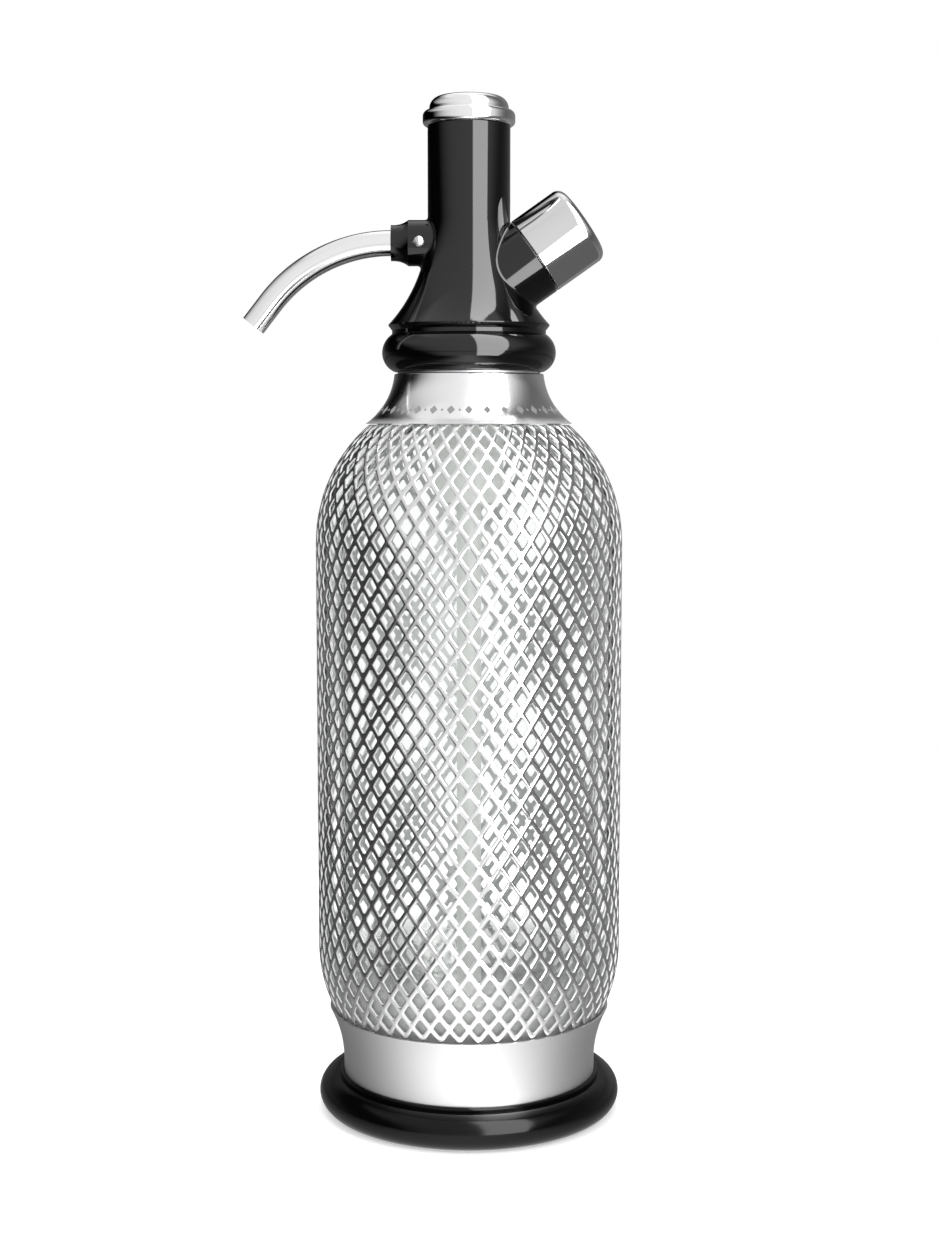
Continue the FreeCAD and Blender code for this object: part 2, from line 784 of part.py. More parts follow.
block_outer = bead_bore - d.slip_fit
block_top = block_bottom + d.block_thick
well_top = riser_top + d.seat_gap + d.water_well
socket = d.riser_radius + d.slip_fit
spigot = gauge_bore - d.slip_fit
groove_depth = d.riser_radius + d.slip_fit + d.seal_ring * 2
groove_level = spigot_bottom + d.spigot_length / 2
block_blank = turned("BlockBlank", [
    (socket, spigot_bottom), (spigot, spigot_bottom), (spigot, block_bottom),
    (block_outer, block_bottom), (block_outer, groove_bottom - d.seat_gap),
    (block_outer - d.block_rim, groove_bottom - d.seat_gap),
    (block_outer - d.block_rim, block_top),
    (0, block_top), (0, well_top), (d.well_radius, well_top),
    (d.well_radius, riser_top + d.seat_gap), (socket, riser_top + d.seat_gap),
    (socket, groove_level + d.seal_ring), (groove_depth, groove_level + d.seal_ring),
    (groove_depth, groove_level - d.seal_ring), (socket, groove_level - d.seal_ring),
])
keep("riser_seal", seal("RiserSeal", d.seal_ring, socket + d.seal_ring, groove_level))

# one screw at the back and one under each side
screw_places = []
for index, bearing in enumerate((90, 210, 330)):
    screw_places.append((index, d.screw_circle * cosine(as_size(bearing)),
                         d.screw_circle * sine(as_size(bearing))))
head_recess = d.screw_head_thick + d.free_gap
screw_ways = []
for index, x, y in screw_places:
    screw_ways.append(rod(f"ScrewWay{index}", d.screw_radius + d.slip_fit,
                          block_bottom - d.free_gap, groove_bottom, x, y))
    screw_ways.append(rod(f"ScrewRecess{index}", d.screw_head + d.slip_fit,
                          block_bottom - d.free_gap, block_bottom + head_recess, x, y))
boss_start = turned("BossBlank", [
    (0, 0), (d.boss_radius, 0), (d.boss_radius, d.boss_length), (0, d.boss_length),
], chargerward)
boss_hole = turned("BossHole", [
    (0, d.boss_floor), (d.boss_bore, d.boss_floor),
    (d.boss_bore, d.boss_length * 2), (0, d.boss_length * 2),
], chargerward)
well_mid = riser_top + d.seat_gap + d.water_well / 2
water_way = crosswise("WaterWay", d.well_way, (0, 0), d.duct_offset, well_mid, V(1, 0, 0), -90)
duct_way = rod("DuctWay", d.duct_bore, well_mid, block_top + d.free_gap, 0, d.duct_offset)
duct_foot = block_top - d.duct_seat
duct_seat = rod("DuctSeat", d.duct_radius + d.slip_fit, duct_foot - d.seat_gap,
                block_top + d.free_gap, 0, d.duct_offset)
gas_inner = d.nozzle_depth * cosine(d.charger_lean) - d.boss_floor
gas_level = block_bottom + d.gas_hole * 2
gas_drop = rod("GasDrop", d.gas_hole, gas_level, block_top, -gas_inner)
gas_run = crosswise("GasRun", d.gas_hole, (-gas_inner, 0), gas_inner - d.gas_port, gas_level,
                    V(0, 1, 0), 90)
gas_exit = rod("GasExit", d.gas_hole, block_bottom - d.free_gap, gas_level, -d.gas_port)
keep("valve_block", without("ValveBlock", fused("BlockWithBoss", [block_blank, boss_start]), [
    boss_hole, water_way, duct_way, duct_seat, gas_drop, gas_run, gas_exit, *screw_ways,
]))
keep("gas_flap", ring("GasFlap", d.flap_inner, d.flap_outer, block_bottom - d.flap_thick, block_bottom))

# ---------------------------------------------------------------- housing
column_bore = d.column_radius - d.housing_wall
cone_centre = d.column_radius + d.cone_arc
cone_inner_arc = d.cone_arc + d.housing_wall
lip_radius = cone_centre - rise_on(d.cone_arc, cone_level - lip_level)
skirt_level = cone_level - rise_on(cone_inner_arc, cone_centre - d.skirt_bore)
shell = turned("HousingShell", [
    (d.skirt_bore, groove_bottom), (d.groove_radius, groove_bottom),
    (d.groove_radius, groove_top), (lip_radius, lip_level - d.lip_edge),
    (lip_radius, lip_level), right(d.cone_arc), (d.column_radius, cone_level),
    (d.column_radius, column_top), (column_bore, column_top), (column_bore, cone_level),
    left(cone_inner_arc), (d.skirt_bore, skirt_level),
])
sleeve_blank = turned("SleeveBlank", [
    (0, d.sleeve_inner_end), (d.holder_radius, d.sleeve_inner_end),
    (d.holder_radius, d.sleeve_end - d.sleeve_round), left(d.sleeve_round),
    (d.holder_radius - d.sleeve_round, d.sleeve_end), (0, d.sleeve_end),
], chargerward)
socket_blank = turned("SocketBlank", [
    (0, column_bore), (d.socket_radius, column_bore),
    (d.socket_radius, d.socket_end), (0, d.socket_end),
], spoutward)
sleeve_hole = turned("SleeveHole", [
    (0, d.cup_start), (d.sleeve_bore, d.cup_start),
    (d.sleeve_bore, d.sleeve_end + d.boss_length), (0, d.sleeve_end + d.boss_length),
], chargerward)
tube_hole = d.spout_radius + d.slip_fit
socket_hole = turned("SocketHole", [
    (0, column_bore - d.housing_wall), (tube_hole, column_bore - d.housing_wall),
    (tube_hole, d.socket_floor), (d.socket_bore, d.socket_floor),
    (d.socket_bore, d.socket_end + d.housing_wall), (0, d.socket_end + d.housing_wall),
], spoutward)
valve_room = rod("ValveRoom", column_bore,
                 spout_level - d.valve_drop - d.valve_room_drop, column_top)
pin_hole = crosswise("PinHole", d.pin_radius + d.slip_fit, (-d.pin_place, 0), d.socket_radius * 2,
                     spout_level, V(1, 0, 0), 90)
solid_head = fused("HousingSolid", [shell, sleeve_blank, socket_blank])
screw_bosses = []
thread_holes = []
screw_tip = block_bottom + head_recess + d.screw_length
for index, x, y in screw_places:
    screw_bosses.append(rod(f"ScrewBoss{index}", d.screw_boss, groove_bottom,
                            groove_bottom + d.screw_boss_length, x, y))
    thread_holes.append(rod(f"ScrewHole{index}", d.screw_radius + d.seat_gap,
                            groove_bottom - d.free_gap, screw_tip, x, y))
doc.recompute()


def junction_edges(shape):
    """Edges where the sleeve and the spout socket leave the outside of the head."""
    found = []
    near = d.seat_gap.number
    lean = math.radians(d.charger_lean.number)
    along = V(math.cos(lean), 0, math.sin(lean))
    cross = V(0, 0, charger_cross.number)
    sleeve_reach = (d.sleeve_end - d.nozzle_depth - d.sleeve_round * 2).number
    socket_reach = (d.socket_end - d.free_gap).number
    for index, edge in enumerate(shape.Edges, start=1):
        middle = edge.valueAt((edge.FirstParameter + edge.LastParameter) / 2)
        if math.hypot(middle.x, middle.y) < outside_at(middle.z) - near:
            continue
        reach = (middle - cross).dot(along)
        around = (middle - cross - along * reach).Length
        on_sleeve = abs(around - d.holder_radius.number) < near and 0 < reach < sleeve_reach
        from_spout = math.hypot(middle.y, middle.z - spout_level.number)
        on_socket = abs(from_spout - d.socket_radius.number) < near and -middle.x < socket_reach
        if (on_sleeve and middle.z > lip_level.number) or on_socket:
            found.append(index)
    return found


def outside_at(level):
    """Outer radius of the head at a level of the column or the cone."""
    below = max(cone_level.number - level, 0.0)
    return cone_centre.number - math.sqrt(d.cone_arc.number ** 2 - below ** 2)


rounded = doc.addObject("Part::Fillet", "HousingRounded")
rounded.Base = solid_head
rounded.Edges = [(index, d.junction_fillet.number, d.junction_fillet.number)
                 for index in junction_edges(solid_head.Shape)]
keep("head_housing", without("HeadHousing", fused("HousingWithBosses", [rounded, *screw_bosses]), [
    sleeve_hole, socket_hole, valve_room, pin_hole, *thread_holes,
]))

screws = []
for index, x, y in screw_places:
    seat = block_bottom + head_recess
    screw = turned(f"Screw{index}", [
        (0, seat - d.screw_head_thick), (d.screw_head, seat - d.screw_head_thick),
        (d.screw_head, seat - d.seat_gap), (d.screw_radius, seat - d.seat_gap),
        (d.screw_radius, screw_tip - d.free_gap), (0, screw_tip - d.free_gap),
    ])
    place(screw, (x, y, 0))
    slot = doc.addObject("Part::Box", f"ScrewSlot{index}")
    slot.setExpression("Length", (d.screw_head * 2 + d.free_gap * 2).text)
    slot.setExpression("Width", d.screw_slot.text)
    slot.setExpression("Height", (d.screw_slot + d.free_gap).text)
    place(slot, (x - d.screw_head - d.free_gap, y - d.screw_slot / 2,
                 seat - d.screw_head_thick - d.free_gap))
    screws.append(without(f"SlottedScrew{index}", screw, [slot]))
screw_set = doc.addObject("Part::Compound", "BlockScrews")
screw_set.Links = screws
keep("block_screws", screw_set)

# ---------------------------------------------------------------- spout
shank = d.socket_bore - d.slip_fit
shank_start = d.socket_end - d.ferrule_shank
nose_end = d.socket_end + d.ferrule_nose
ferrule_blank = turned("FerruleBlank", [
    (tube_hole, shank_start), (shank, shank_start), (shank, d.socket_end),
    (d.socket_radius, d.socket_end), right(d.ferrule_arc), (d.ferrule_tip, nose_end),
    (tube_hole, nose_end),
], spoutward)
ferrule_pin_hole = crosswise("FerrulePinHole", d.pin_radius + d.slip_fit, (-d.pin_place, 0),
                             d.socket_radius * 2, spout_level, V(1, 0, 0), 90)
keep("spout_ferrule", without("SpoutFerrule", ferrule_blank, [ferrule_pin_hole]))

pin_inner = tube_hole + d.free_gap
pin_body = turned("SpoutPin", [
    (0, pin_inner), (d.pin_radius, pin_inner), (d.pin_radius, d.socket_radius - d.pin_dome),
    left(crown(d.pin_radius, d.pin_dome * 2)), (0, d.socket_radius + d.pin_dome),
])
place(pin_body, (-d.pin_place, 0, spout_level), V(1, 0, 0), 90)
keep("spout_pin", pin_body)

spout_start = d.valve_radius + d.free_gap
bend_centre = spout_level - d.spout_bend
bend_end_x = nose_end + d.spout_bend * sine(d.spout_angle)
bend_end_z = bend_centre + d.spout_bend * cosine(d.spout_angle)
tube_body = doc.addObject("PartDesign::Body", "SpoutTube")
tube_path = new_sketch(tube_body, "SpoutTube_path")
draw(tube_path, [
    (spout_start, spout_level), (nose_end, spout_level), right(d.spout_bend),
    (bend_end_x, bend_end_z),
    (bend_end_x + d.spout_straight * cosine(d.spout_angle),
     bend_end_z - d.spout_straight * sine(d.spout_angle)),
], closed=False)
tube_section = new_sketch(tube_body, "SpoutTube_section", "YZ_Plane")
tube_section.setExpression("AttachmentOffset.Base.z", spout_start.text)
for radius in (d.spout_radius, d.spout_radius - d.spout_wall):
    circle = tube_section.addGeometry(
        Part.Circle(V(0, spout_level.number, 0), V(0, 0, 1), radius.number), False)
    bind(tube_section, "DistanceX", (-1, 1, circle, 3), 0)
    bind(tube_section, "DistanceY", (-1, 1, circle, 3), spout_level)
    bind(tube_section, "Radius", (circle,), radius)
tube_sweep = tube_body.newObject("PartDesign::AdditivePipe", "SpoutTube_sweep")
tube_sweep.Profile = tube_section
tube_sweep.Spine = tube_path
place(tube_body, (0, 0, 0), V(0, 0, 1), 180)
keep("spout_tube", tube_body)

gap_middle = (d.socket_floor + shank_start) / 2
seal_room = (d.socket_bore - d.spout_radius - d.slip_fit) / 2
keep("spout_seal", seal("SpoutSeal", d.spout_seal_ring, d.spout_radius + d.slip_fit + seal_room,
                        gap_middle, spoutward))

# ---------------------------------------------------------------- tap valve
valve_bottom = spout_level - d.valve_drop
valve_top = valve_bottom + d.valve_height
plug_bottom = valve_bottom + d.chamber_floor
port_top = seat_level + d.port_length
gland_step = port_top + d.outlet_height
valve_blank = turned("ValveBlank", [
    (d.chamber_radius, valve_bottom), (d.valve_radius, valve_bottom), (d.valve_radius, valve_top),
    (d.gland_bore, valve_top), (d.gland_bore, gland_step), (d.outlet_radius, gland_step),
    (d.outlet_radius, port_top), (d.port_radius, port_top), (d.port_radius, seat_level),
    (d.chamber_radius, seat_level),
])
sleeve_saddle = turned("SleeveSaddle", [
    (0, 0), (d.holder_radius + d.slip_fit, 0),
    (d.holder_radius + d.slip_fit, d.sleeve_end), (0, d.sleeve_end),
], chargerward)
inlet_level = (plug_bottom + d.plug_thick + seat_level) / 2 - d.water_hole
duct_top = valve_bottom + d.duct_seat * 2
inlet_seat = rod("InletSeat", d.duct_radius + d.slip_fit, valve_bottom - d.free_gap,
                 duct_top + d.seat_gap, 0, d.duct_upper_offset)
inlet_rise = rod("InletRise", d.duct_bore, duct_top, inlet_level, 0, d.duct_upper_offset)
inlet_run = crosswise("InletRun", d.duct_bore, (0, 0), d.duct_upper_offset, inlet_level,
                      V(1, 0, 0), -90)
outlet_level = port_top + d.outlet_height / 2
outlet_run = crosswise("OutletRun", d.water_hole, (0, 0), d.outlet_offset, outlet_level,
                       V(0, 1, 0), -90)
outlet_fall = rod("OutletFall", d.water_hole, spout_level, outlet_level, -d.outlet_offset)
mouth_start = d.outlet_offset - d.water_hole - d.free_gap
outlet_mouth = crosswise("OutletMouth", d.spout_radius - d.spout_wall, (-mouth_start, 0),
                         d.valve_radius, spout_level, V(0, 1, 0), -90)
keep("valve_body", without("ValveBody", valve_blank, [
    sleeve_saddle, inlet_seat, inlet_rise, inlet_run, outlet_run, outlet_fall, outlet_mouth,
]))
keep("valve_plug", turned("ValvePlug", [
    (0, plug_bottom + d.plug_thick / 2), (d.port_radius / 2, plug_bottom + d.plug_thick / 2),
    (d.port_radius / 2, plug_bottom), (d.chamber_radius - d.seat_gap, plug_bottom),
    (d.chamber_radius - d.seat_gap, plug_bottom + d.plug_thick), (0, plug_bottom + d.plug_thick),
]))
gland_hole = d.stem_radius + d.slip_fit
seal_level = gland_step + d.stem_seal_ring
gland_bottom = seal_level + d.stem_seal_ring + d.seat_gap
keep("stem_seal", seal("StemSeal", d.stem_seal_ring, gland_hole + d.stem_seal_ring, seal_level))
keep("stem_gland", turned("StemGland", [
    (gland_hole, gland_bottom), (d.gland_bore - d.seat_gap, gland_bottom),
    (d.gland_bore - d.seat_gap, valve_top), (d.gland_head, valve_top),
    (d.gland_head, valve_top + d.gland_head_thick), (gland_hole, valve_top + d.gland_head_thick),
]))

# water duct: from the block, past the charger, up into the valve body
duct_body = doc.addObject("PartDesign::Body", "WaterDuct")
duct_path = new_sketch(duct_body, "WaterDuct_path", "YZ_Plane")
duct_slant_top = valve_bottom - d.duct_elbow
slant_across = d.duct_offset - d.duct_upper_offset
slant_rise = duct_slant_top - duct_bend_level
slant_length = root(slant_across * slant_across + slant_rise * slant_rise)
bend_length = d.duct_bend * (slant_length - slant_rise) / slant_across
bend_across = bend_length * slant_across / slant_length
bend_rise = bend_length * slant_rise / slant_length
draw(duct_path, [
    (d.duct_offset, duct_foot), (d.duct_offset, duct_bend_level - bend_length), left(d.duct_bend),
    (d.duct_offset - bend_across, duct_bend_level + bend_rise),
    (d.duct_upper_offset + bend_across, duct_slant_top - bend_rise), right(d.duct_bend),
    (d.duct_upper_offset, duct_slant_top + bend_length), (d.duct_upper_offset, duct_top),
], closed=False)
duct_section = new_sketch(duct_body, "WaterDuct_section", "XY_Plane")
duct_section.setExpression("AttachmentOffset.Base.z", duct_foot.text)
for radius in (d.duct_radius, d.duct_bore):
    circle = duct_section.addGeometry(
        Part.Circle(V(0, d.duct_offset.number, 0), V(0, 0, 1), radius.number), False)
    bind(duct_section, "DistanceX", (-1, 1, circle, 3), 0)
    bind(duct_section, "DistanceY", (-1, 1, circle, 3), d.duct_offset)
    bind(duct_section, "Radius", (circle,), radius)
duct_sweep = duct_body.newObject("PartDesign::AdditivePipe", "WaterDuct_sweep")
duct_sweep.Profile = duct_section
duct_sweep.Spine = duct_path
keep("water_duct", duct_body)

# ---------------------------------------------------------------- button, stem and spring
disc_top = seat_level - d.seat_gap
disc_bottom = disc_top - d.disc_thick
stem_bottom = disc_bottom - d.stem_head_thick
cap_bottom = column_top + d.button_travel + d.free_gap
web_under = cap_bottom - d.plunger_web
boss_bottom = web_under - d.plunger_boss_length
stem_top = boss_bottom + d.stem_bite
keep("valve_disc", ring("ValveDisc", gland_hole, d.disc_radius, disc_bottom, disc_top))
keep("valve_stem", turned("ValveStem", [
    (0, stem_bottom), (d.stem_head, stem_bottom), (d.stem_head, disc_bottom),
    (d.stem_radius, disc_bottom), (d.stem_radius, stem_top), (0, stem_top),
]))
plunger_radius = column_bore - d.plunger_gap
plunger_inner = plunger_radius - d.plunger_wall
crown_radius = d.cap_radius - d.cap_wall - d.slip_fit
keep("plunger", turned("Plunger", [
    (plunger_inner, cap_bottom - d.plunger_skirt), (plunger_radius, cap_bottom - d.plunger_skirt),
    (plunger_radius, cap_bottom), (crown_radius, cap_bottom), (crown_radius, cap_bottom + d.plunger_crown),
    (0, cap_bottom + d.plunger_crown), (0, stem_top + d.seat_gap), (gland_hole, stem_top + d.seat_gap),
    (gland_hole, boss_bottom), (d.plunger_boss, boss_bottom), (d.plunger_boss, web_under),
    (plunger_inner, web_under),
]))
cap_inner = d.cap_radius - d.cap_wall
keep("button_cap", turned("ButtonCap", [
    (cap_inner, cap_bottom), (d.cap_radius, cap_bottom), (d.cap_radius, cap_bottom + d.cap_side),
    left(d.cap_corner), (d.cap_shoulder, cap_bottom + d.cap_shoulder_rise),
    left(crown(d.cap_shoulder, d.cap_height - d.cap_shoulder_rise)),
    (0, cap_bottom + d.cap_height),
    (0, cap_bottom + d.cap_height - d.cap_wall),
    (d.cap_shoulder - d.cap_wall, cap_bottom + d.cap_shoulder_rise - d.cap_wall),
    (cap_inner, cap_bottom + d.plunger_crown),
]))
trim_bottom = column_top - d.trim_skirt
trim_top = column_top + d.trim_height
trim_bore = d.cap_radius + d.trim_gap
trim_grip = d.column_radius + d.seat_gap
keep("button_ring", turned("ButtonRing", [
    (trim_grip, trim_bottom), (d.trim_radius - d.trim_foot_round, trim_bottom),
    left(d.trim_foot_round), (d.trim_radius, trim_bottom + d.trim_foot_round),
    (d.trim_radius, trim_top - d.trim_round), left(d.trim_round),
    (d.trim_radius - d.trim_round, trim_top), (trim_bore, trim_top),
    (trim_bore, column_top + d.seat_gap), (trim_grip, column_top + d.seat_gap),
]))

spring_body = doc.addObject("PartDesign::Body", "ValveSpring")
wire = new_sketch(spring_body, "ValveSpring_wire")
spring_foot = valve_top + d.spring_wire + d.seat_gap
spring_rise = web_under - d.spring_wire - d.seat_gap - spring_foot
wire.addGeometry(Part.Circle(V(d.spring_radius.number, spring_foot.number, 0), V(0, 0, 1),
                             d.spring_wire.number), False)
bind(wire, "DistanceX", (-1, 1, 0, 3), d.spring_radius)
bind(wire, "DistanceY", (-1, 1, 0, 3), spring_foot)
bind(wire, "Radius", (0,), d.spring_wire)
coil = spring_body.newObject("PartDesign::AdditiveHelix", "ValveSpring_coil")
coil.Profile = wire
coil.ReferenceAxis = (wire, ["V_Axis"])
coil.Mode = 0
coil.Pitch = spring_rise.number / d.spring_turns.number
coil.Height = spring_rise.number
coil.setExpression("Pitch", (spring_rise / d.spring_turns).text)
coil.setExpression("Height", spring_rise.text)
keep("valve_spring", spring_body)

# ---------------------------------------------------------------- charger, nozzle and holder
nozzle_bottom = d.boss_floor + d.needle_radius / 2
nozzle_top = nozzle_bottom + d.nozzle_thick
seal_top = nozzle_top + d.charger_seal_thick
charger_tip = seal_top + d.seat_gap
charger_tail = charger_tip + d.charger_length
needle_top = charger_tip + d.needle_reach
nozzle_radius = d.boss_bore - d.slip_fit
keep("piercing_nozzle", ring("PiercingNozzle", d.needle_radius + d.seat_gap, nozzle_radius,
                             nozzle_bottom, nozzle_top, chargerward))
keep("piercing_pin", turned("PiercingPin", [
    (d.needle_bore, nozzle_bottom), (d.needle_radius, nozzle_bottom),
    (d.needle_radius, needle_top - d.needle_radius), (d.needle_bore + d.seat_gap, needle_top),
    (d.needle_bore, needle_top),
], chargerward))
keep("charger_seal", ring("ChargerSeal", d.charger_seal_hole, nozzle_radius,
                          nozzle_top, seal_top, chargerward))

neck_end = charger_tip + d.charger_neck_length
taper_end = neck_end + d.charger_taper
taper_middle = (d.charger_neck + d.charger_radius) / 2
keep("co2_charger", turned("Charger", [
    (0, charger_tip + d.charger_dimple_depth), (d.charger_dimple, charger_tip + d.charger_dimple_depth),
    (d.charger_dimple, charger_tip), (d.charger_neck, charger_tip), (d.charger_neck, neck_end),
    right(d.charger_taper), (taper_middle, (neck_end + taper_end) / 2),
    left(d.charger_taper), (d.charger_radius, taper_end),
    (d.charger_radius, charger_tail - d.charger_radius), left(d.charger_radius),
    (0, charger_tail),
], chargerward))
pad_start = charger_tail + d.seat_gap
shell_inside = pad_start + d.charger_pad_thick + d.seat_gap
shell_end = shell_inside + d.shell_wall
keep("charger_pad", turned("ChargerPad", [
    (0, pad_start), (d.charger_pad_radius, pad_start),
    (d.charger_pad_radius, pad_start + d.charger_pad_thick), (0, pad_start + d.charger_pad_thick),
], chargerward))

cup_root = d.cup_bore + d.cup_wall
flange_start = d.sleeve_end + d.free_gap
flange_end = flange_start + d.cup_flange_thick
shell_corner = shell_inside - d.shell_edge
cup_end = shell_corner - d.seat_gap
cup = turned("ChargerCup", [
    (d.cup_bore, d.cup_start), (cup_root, d.cup_start), (cup_root, flange_start),
    (d.cup_flange, flange_start), (d.cup_flange, flange_end), (cup_root, flange_end),
    (cup_root, cup_end - d.cup_flange_thick), (d.cup_flange, cup_end - d.cup_flange_thick),
    (d.cup_flange, cup_end), (d.cup_bore, cup_end),
], chargerward)
threaded(cup, "ChargerCup", cup_root + d.cup_thread_depth, d.cup_thread_depth,
         d.cup_thread_land, d.cup_thread_root, d.cup_thread_pitch,
         d.cup_thread_turns, d.cup_start + d.cup_thread_start)
keep("charger_cup", cup)

shell_bore = d.cup_flange + d.slip_fit
shell_side = shell_end - d.shell_dome
keep("charger_cap", turned("ChargerCap", [
    (shell_bore, flange_start), (d.holder_radius - d.sleeve_round, flange_start),
    left(d.sleeve_round), (d.holder_radius, flange_start + d.sleeve_round),
    (d.holder_radius, shell_side - d.shell_edge), left(d.shell_edge),
    (d.holder_radius - d.shell_edge, shell_side),
    left(crown(d.holder_radius - d.shell_edge, d.shell_dome)), (0, shell_end),
    (0, shell_inside), (d.charger_pad_radius + d.free_gap, shell_inside),
    (shell_bore - d.shell_wall, shell_inside - d.shell_dome), (shell_bore, shell_corner),
], chargerward))

# ---------------------------------------------------------------- checks and files
doc.recompute()
for thing in doc.Objects:
    troubles = [state for state in thing.State if state in ("Invalid", "Error")]
    if troubles:
        raise RuntimeError(f"{thing.Name} failed to build: {thing.State}")
for name, thing in parts.items():
    shape = thing.Shape
    if shape.isNull() or not shape.isValid() or not shape.Solids:
        raise RuntimeError(f"{name} has no sound solid")
for name, thing in parts.items():
    thing.Shape.exportStep(f"parts/{name}.step")
    print(f"{name}: {len(thing.Shape.Solids)} solid, {thing.Shape.Volume / 1000:.2f} cm3")
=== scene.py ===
import math

import bpy
import numpy as np
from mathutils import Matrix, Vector
from mathutils.bvhtree import BVHTree


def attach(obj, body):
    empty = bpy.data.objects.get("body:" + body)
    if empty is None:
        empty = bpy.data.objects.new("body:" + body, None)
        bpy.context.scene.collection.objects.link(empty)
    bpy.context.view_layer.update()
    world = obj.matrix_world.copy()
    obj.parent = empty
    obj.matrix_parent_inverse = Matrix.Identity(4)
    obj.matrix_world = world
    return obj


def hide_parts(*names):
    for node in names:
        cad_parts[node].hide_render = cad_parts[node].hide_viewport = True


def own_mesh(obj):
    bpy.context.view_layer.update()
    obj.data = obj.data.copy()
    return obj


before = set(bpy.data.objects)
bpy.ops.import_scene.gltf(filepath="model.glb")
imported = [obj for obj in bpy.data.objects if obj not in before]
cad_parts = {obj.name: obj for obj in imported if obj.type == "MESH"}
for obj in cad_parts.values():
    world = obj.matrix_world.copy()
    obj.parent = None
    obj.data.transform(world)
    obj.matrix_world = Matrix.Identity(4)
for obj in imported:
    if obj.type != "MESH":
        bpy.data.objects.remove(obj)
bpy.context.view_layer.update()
bpy.ops.object.select_all(action="DESELECT")


# ---------------------------------------------------------------- camera
# The siphon stands upright and is seen straight from its front, a little from above.
camera = bpy.data.objects.new("camera", bpy.data.cameras.new("camera"))
bpy.context.collection.objects.link(camera)
camera.location = (0, -0.6769, 0.24308)
camera.rotation_euler = (math.radians(90 - 5.912), 0, 0)
camera.data.sensor_width = 36
camera.data.lens = 55.63
bpy.context.scene.camera = camera


# ---------------------------------------------------------------- studio
# A white paper sweep with three soft lamps, inside a round light tent that only polished metal and
# moulding mirror.
class Value:
    """A socket of a finish. Arithmetic on it adds Math nodes."""

    def __init__(self, finish, socket):
        self.finish = finish
        self.socket = socket

    def maths(self, operation, *others):
        return self.finish.node("Math", {"operation": operation}, dict(enumerate((self, *others))))

    def __add__(self, other):
        return self.maths("ADD", other)

    __radd__ = __add__

    def __sub__(self, other):
        return self.maths("SUBTRACT", other)

    def __rsub__(self, other):
        return self * -1 + other

    def __mul__(self, other):
        return self.maths("MULTIPLY", other)

    __rmul__ = __mul__

    def __truediv__(self, other):
        return self.maths("DIVIDE", other)

    def between(self, low, high, soft):
        """1 between two values and 0 outside them, with soft edges."""
        rising = self.finish.node("MapRange", {"interpolation_type": "SMOOTHSTEP"},
                                  {0: self, 1: low - soft, 2: low + soft})
        falling = self.finish.node("MapRange", {"interpolation_type": "SMOOTHSTEP"},
                                   {0: self, 1: high - soft, 2: high + soft})
        return rising - falling


class Finish:
    """A surface finish: a Principled shader, and one way to add nodes to it."""

    def __init__(self, name, **plain):
        self.material = bpy.data.materials.new(name)
        self.material.use_nodes = True
        self.tree = self.material.node_tree
        self.shader = self.tree.nodes["Principled BSDF"]
        for socket, value in plain.items():
            self.set(socket.replace("_", " "), value)

    def feed(self, socket, value):
        if isinstance(value, Value):
            self.tree.links.new(value.socket, socket)
        elif isinstance(value, tuple) and len(value) == 3 and socket.type == "RGBA":
            socket.default_value = (*value, 1)
        else:
            socket.default_value = value

    def set(self, name, value):
        """Gives one input of the Principled shader a value."""
        self.feed(self.shader.inputs[name], value)

    def node(self, kind, settings=None, inputs=None, output=0):
        node = self.tree.nodes.new("ShaderNode" + kind)
        for name, value in (settings or {}).items():
            setattr(node, name, value)
        for name, value in (inputs or {}).items():
            self.feed(node.inputs[name], value)
        return Value(self, node.outputs[output])

    def ramp(self, factor, stops):
        """A grey that runs through stops of (place, brightness)."""
        value = self.node("ValToRGB", {}, {"Fac": factor})
        elements = value.socket.node.color_ramp.elements
        for i, (place, grey) in enumerate(stops):
            stop = elements[i] if i < 2 else elements.new(place)
            stop.position = place
            stop.color = (grey, grey, grey, 1)
        return value

    def axis(self, name):
        return self.node("SeparateXYZ", {}, {"Vector": self.point()}, name)

    def point(self):
        return self.node("TexCoord", output="Object")

    def noise(self, scale, detail=3.0, roughness=0.5, vector=None):
        return self.node("TexNoise", {}, {"Vector": vector or self.point(), "Scale": scale,
                                          "Detail": detail, "Roughness": roughness}, "Fac")

    def mixed(self, factor, dark, light):
        """A colour between two others."""
        return self.node("Mix", {"data_type": "RGBA"}, {0: factor, 6: dark, 7: light}, 2)

    def bump(self, height, strength, distance):
        self.set("Normal", self.node("Bump", {}, {"Height": height, "Strength": strength,
                                                  "Distance": distance}, "Normal"))

    def onto(self, *names):
        """Puts the finish on CAD pieces, by name."""
        for name in names:
            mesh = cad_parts[name].data
            mesh.materials.clear()
            mesh.materials.append(self.material)


bpy.context.scene.view_settings.view_transform = "Standard"
world = bpy.data.worlds.new("white_paper")
bpy.context.scene.world = world
world.use_nodes = True
paper = world.node_tree
paper.nodes.clear()
rays = paper.nodes.new("ShaderNodeLightPath")
seen = paper.nodes.new("ShaderNodeMath")
seen.operation = "MAXIMUM"
paper.links.new(rays.outputs["Is Camera Ray"], seen.inputs[0])
paper.links.new(rays.outputs["Is Transmission Ray"], seen.inputs[1])
strength = paper.nodes.new("ShaderNodeMix")
strength.inputs["A"].default_value = 0.6
strength.inputs["B"].default_value = 1.0
paper.links.new(seen.outputs[0], strength.inputs["Factor"])
backdrop = paper.nodes.new("ShaderNodeBackground")
backdrop.inputs["Color"].default_value = (1, 1, 1, 1)
paper.links.new(strength.outputs["Result"], backdrop.inputs["Strength"])
sky = paper.nodes.new("ShaderNodeOutputWorld")
paper.links.new(backdrop.outputs[0], sky.inputs["Surface"])

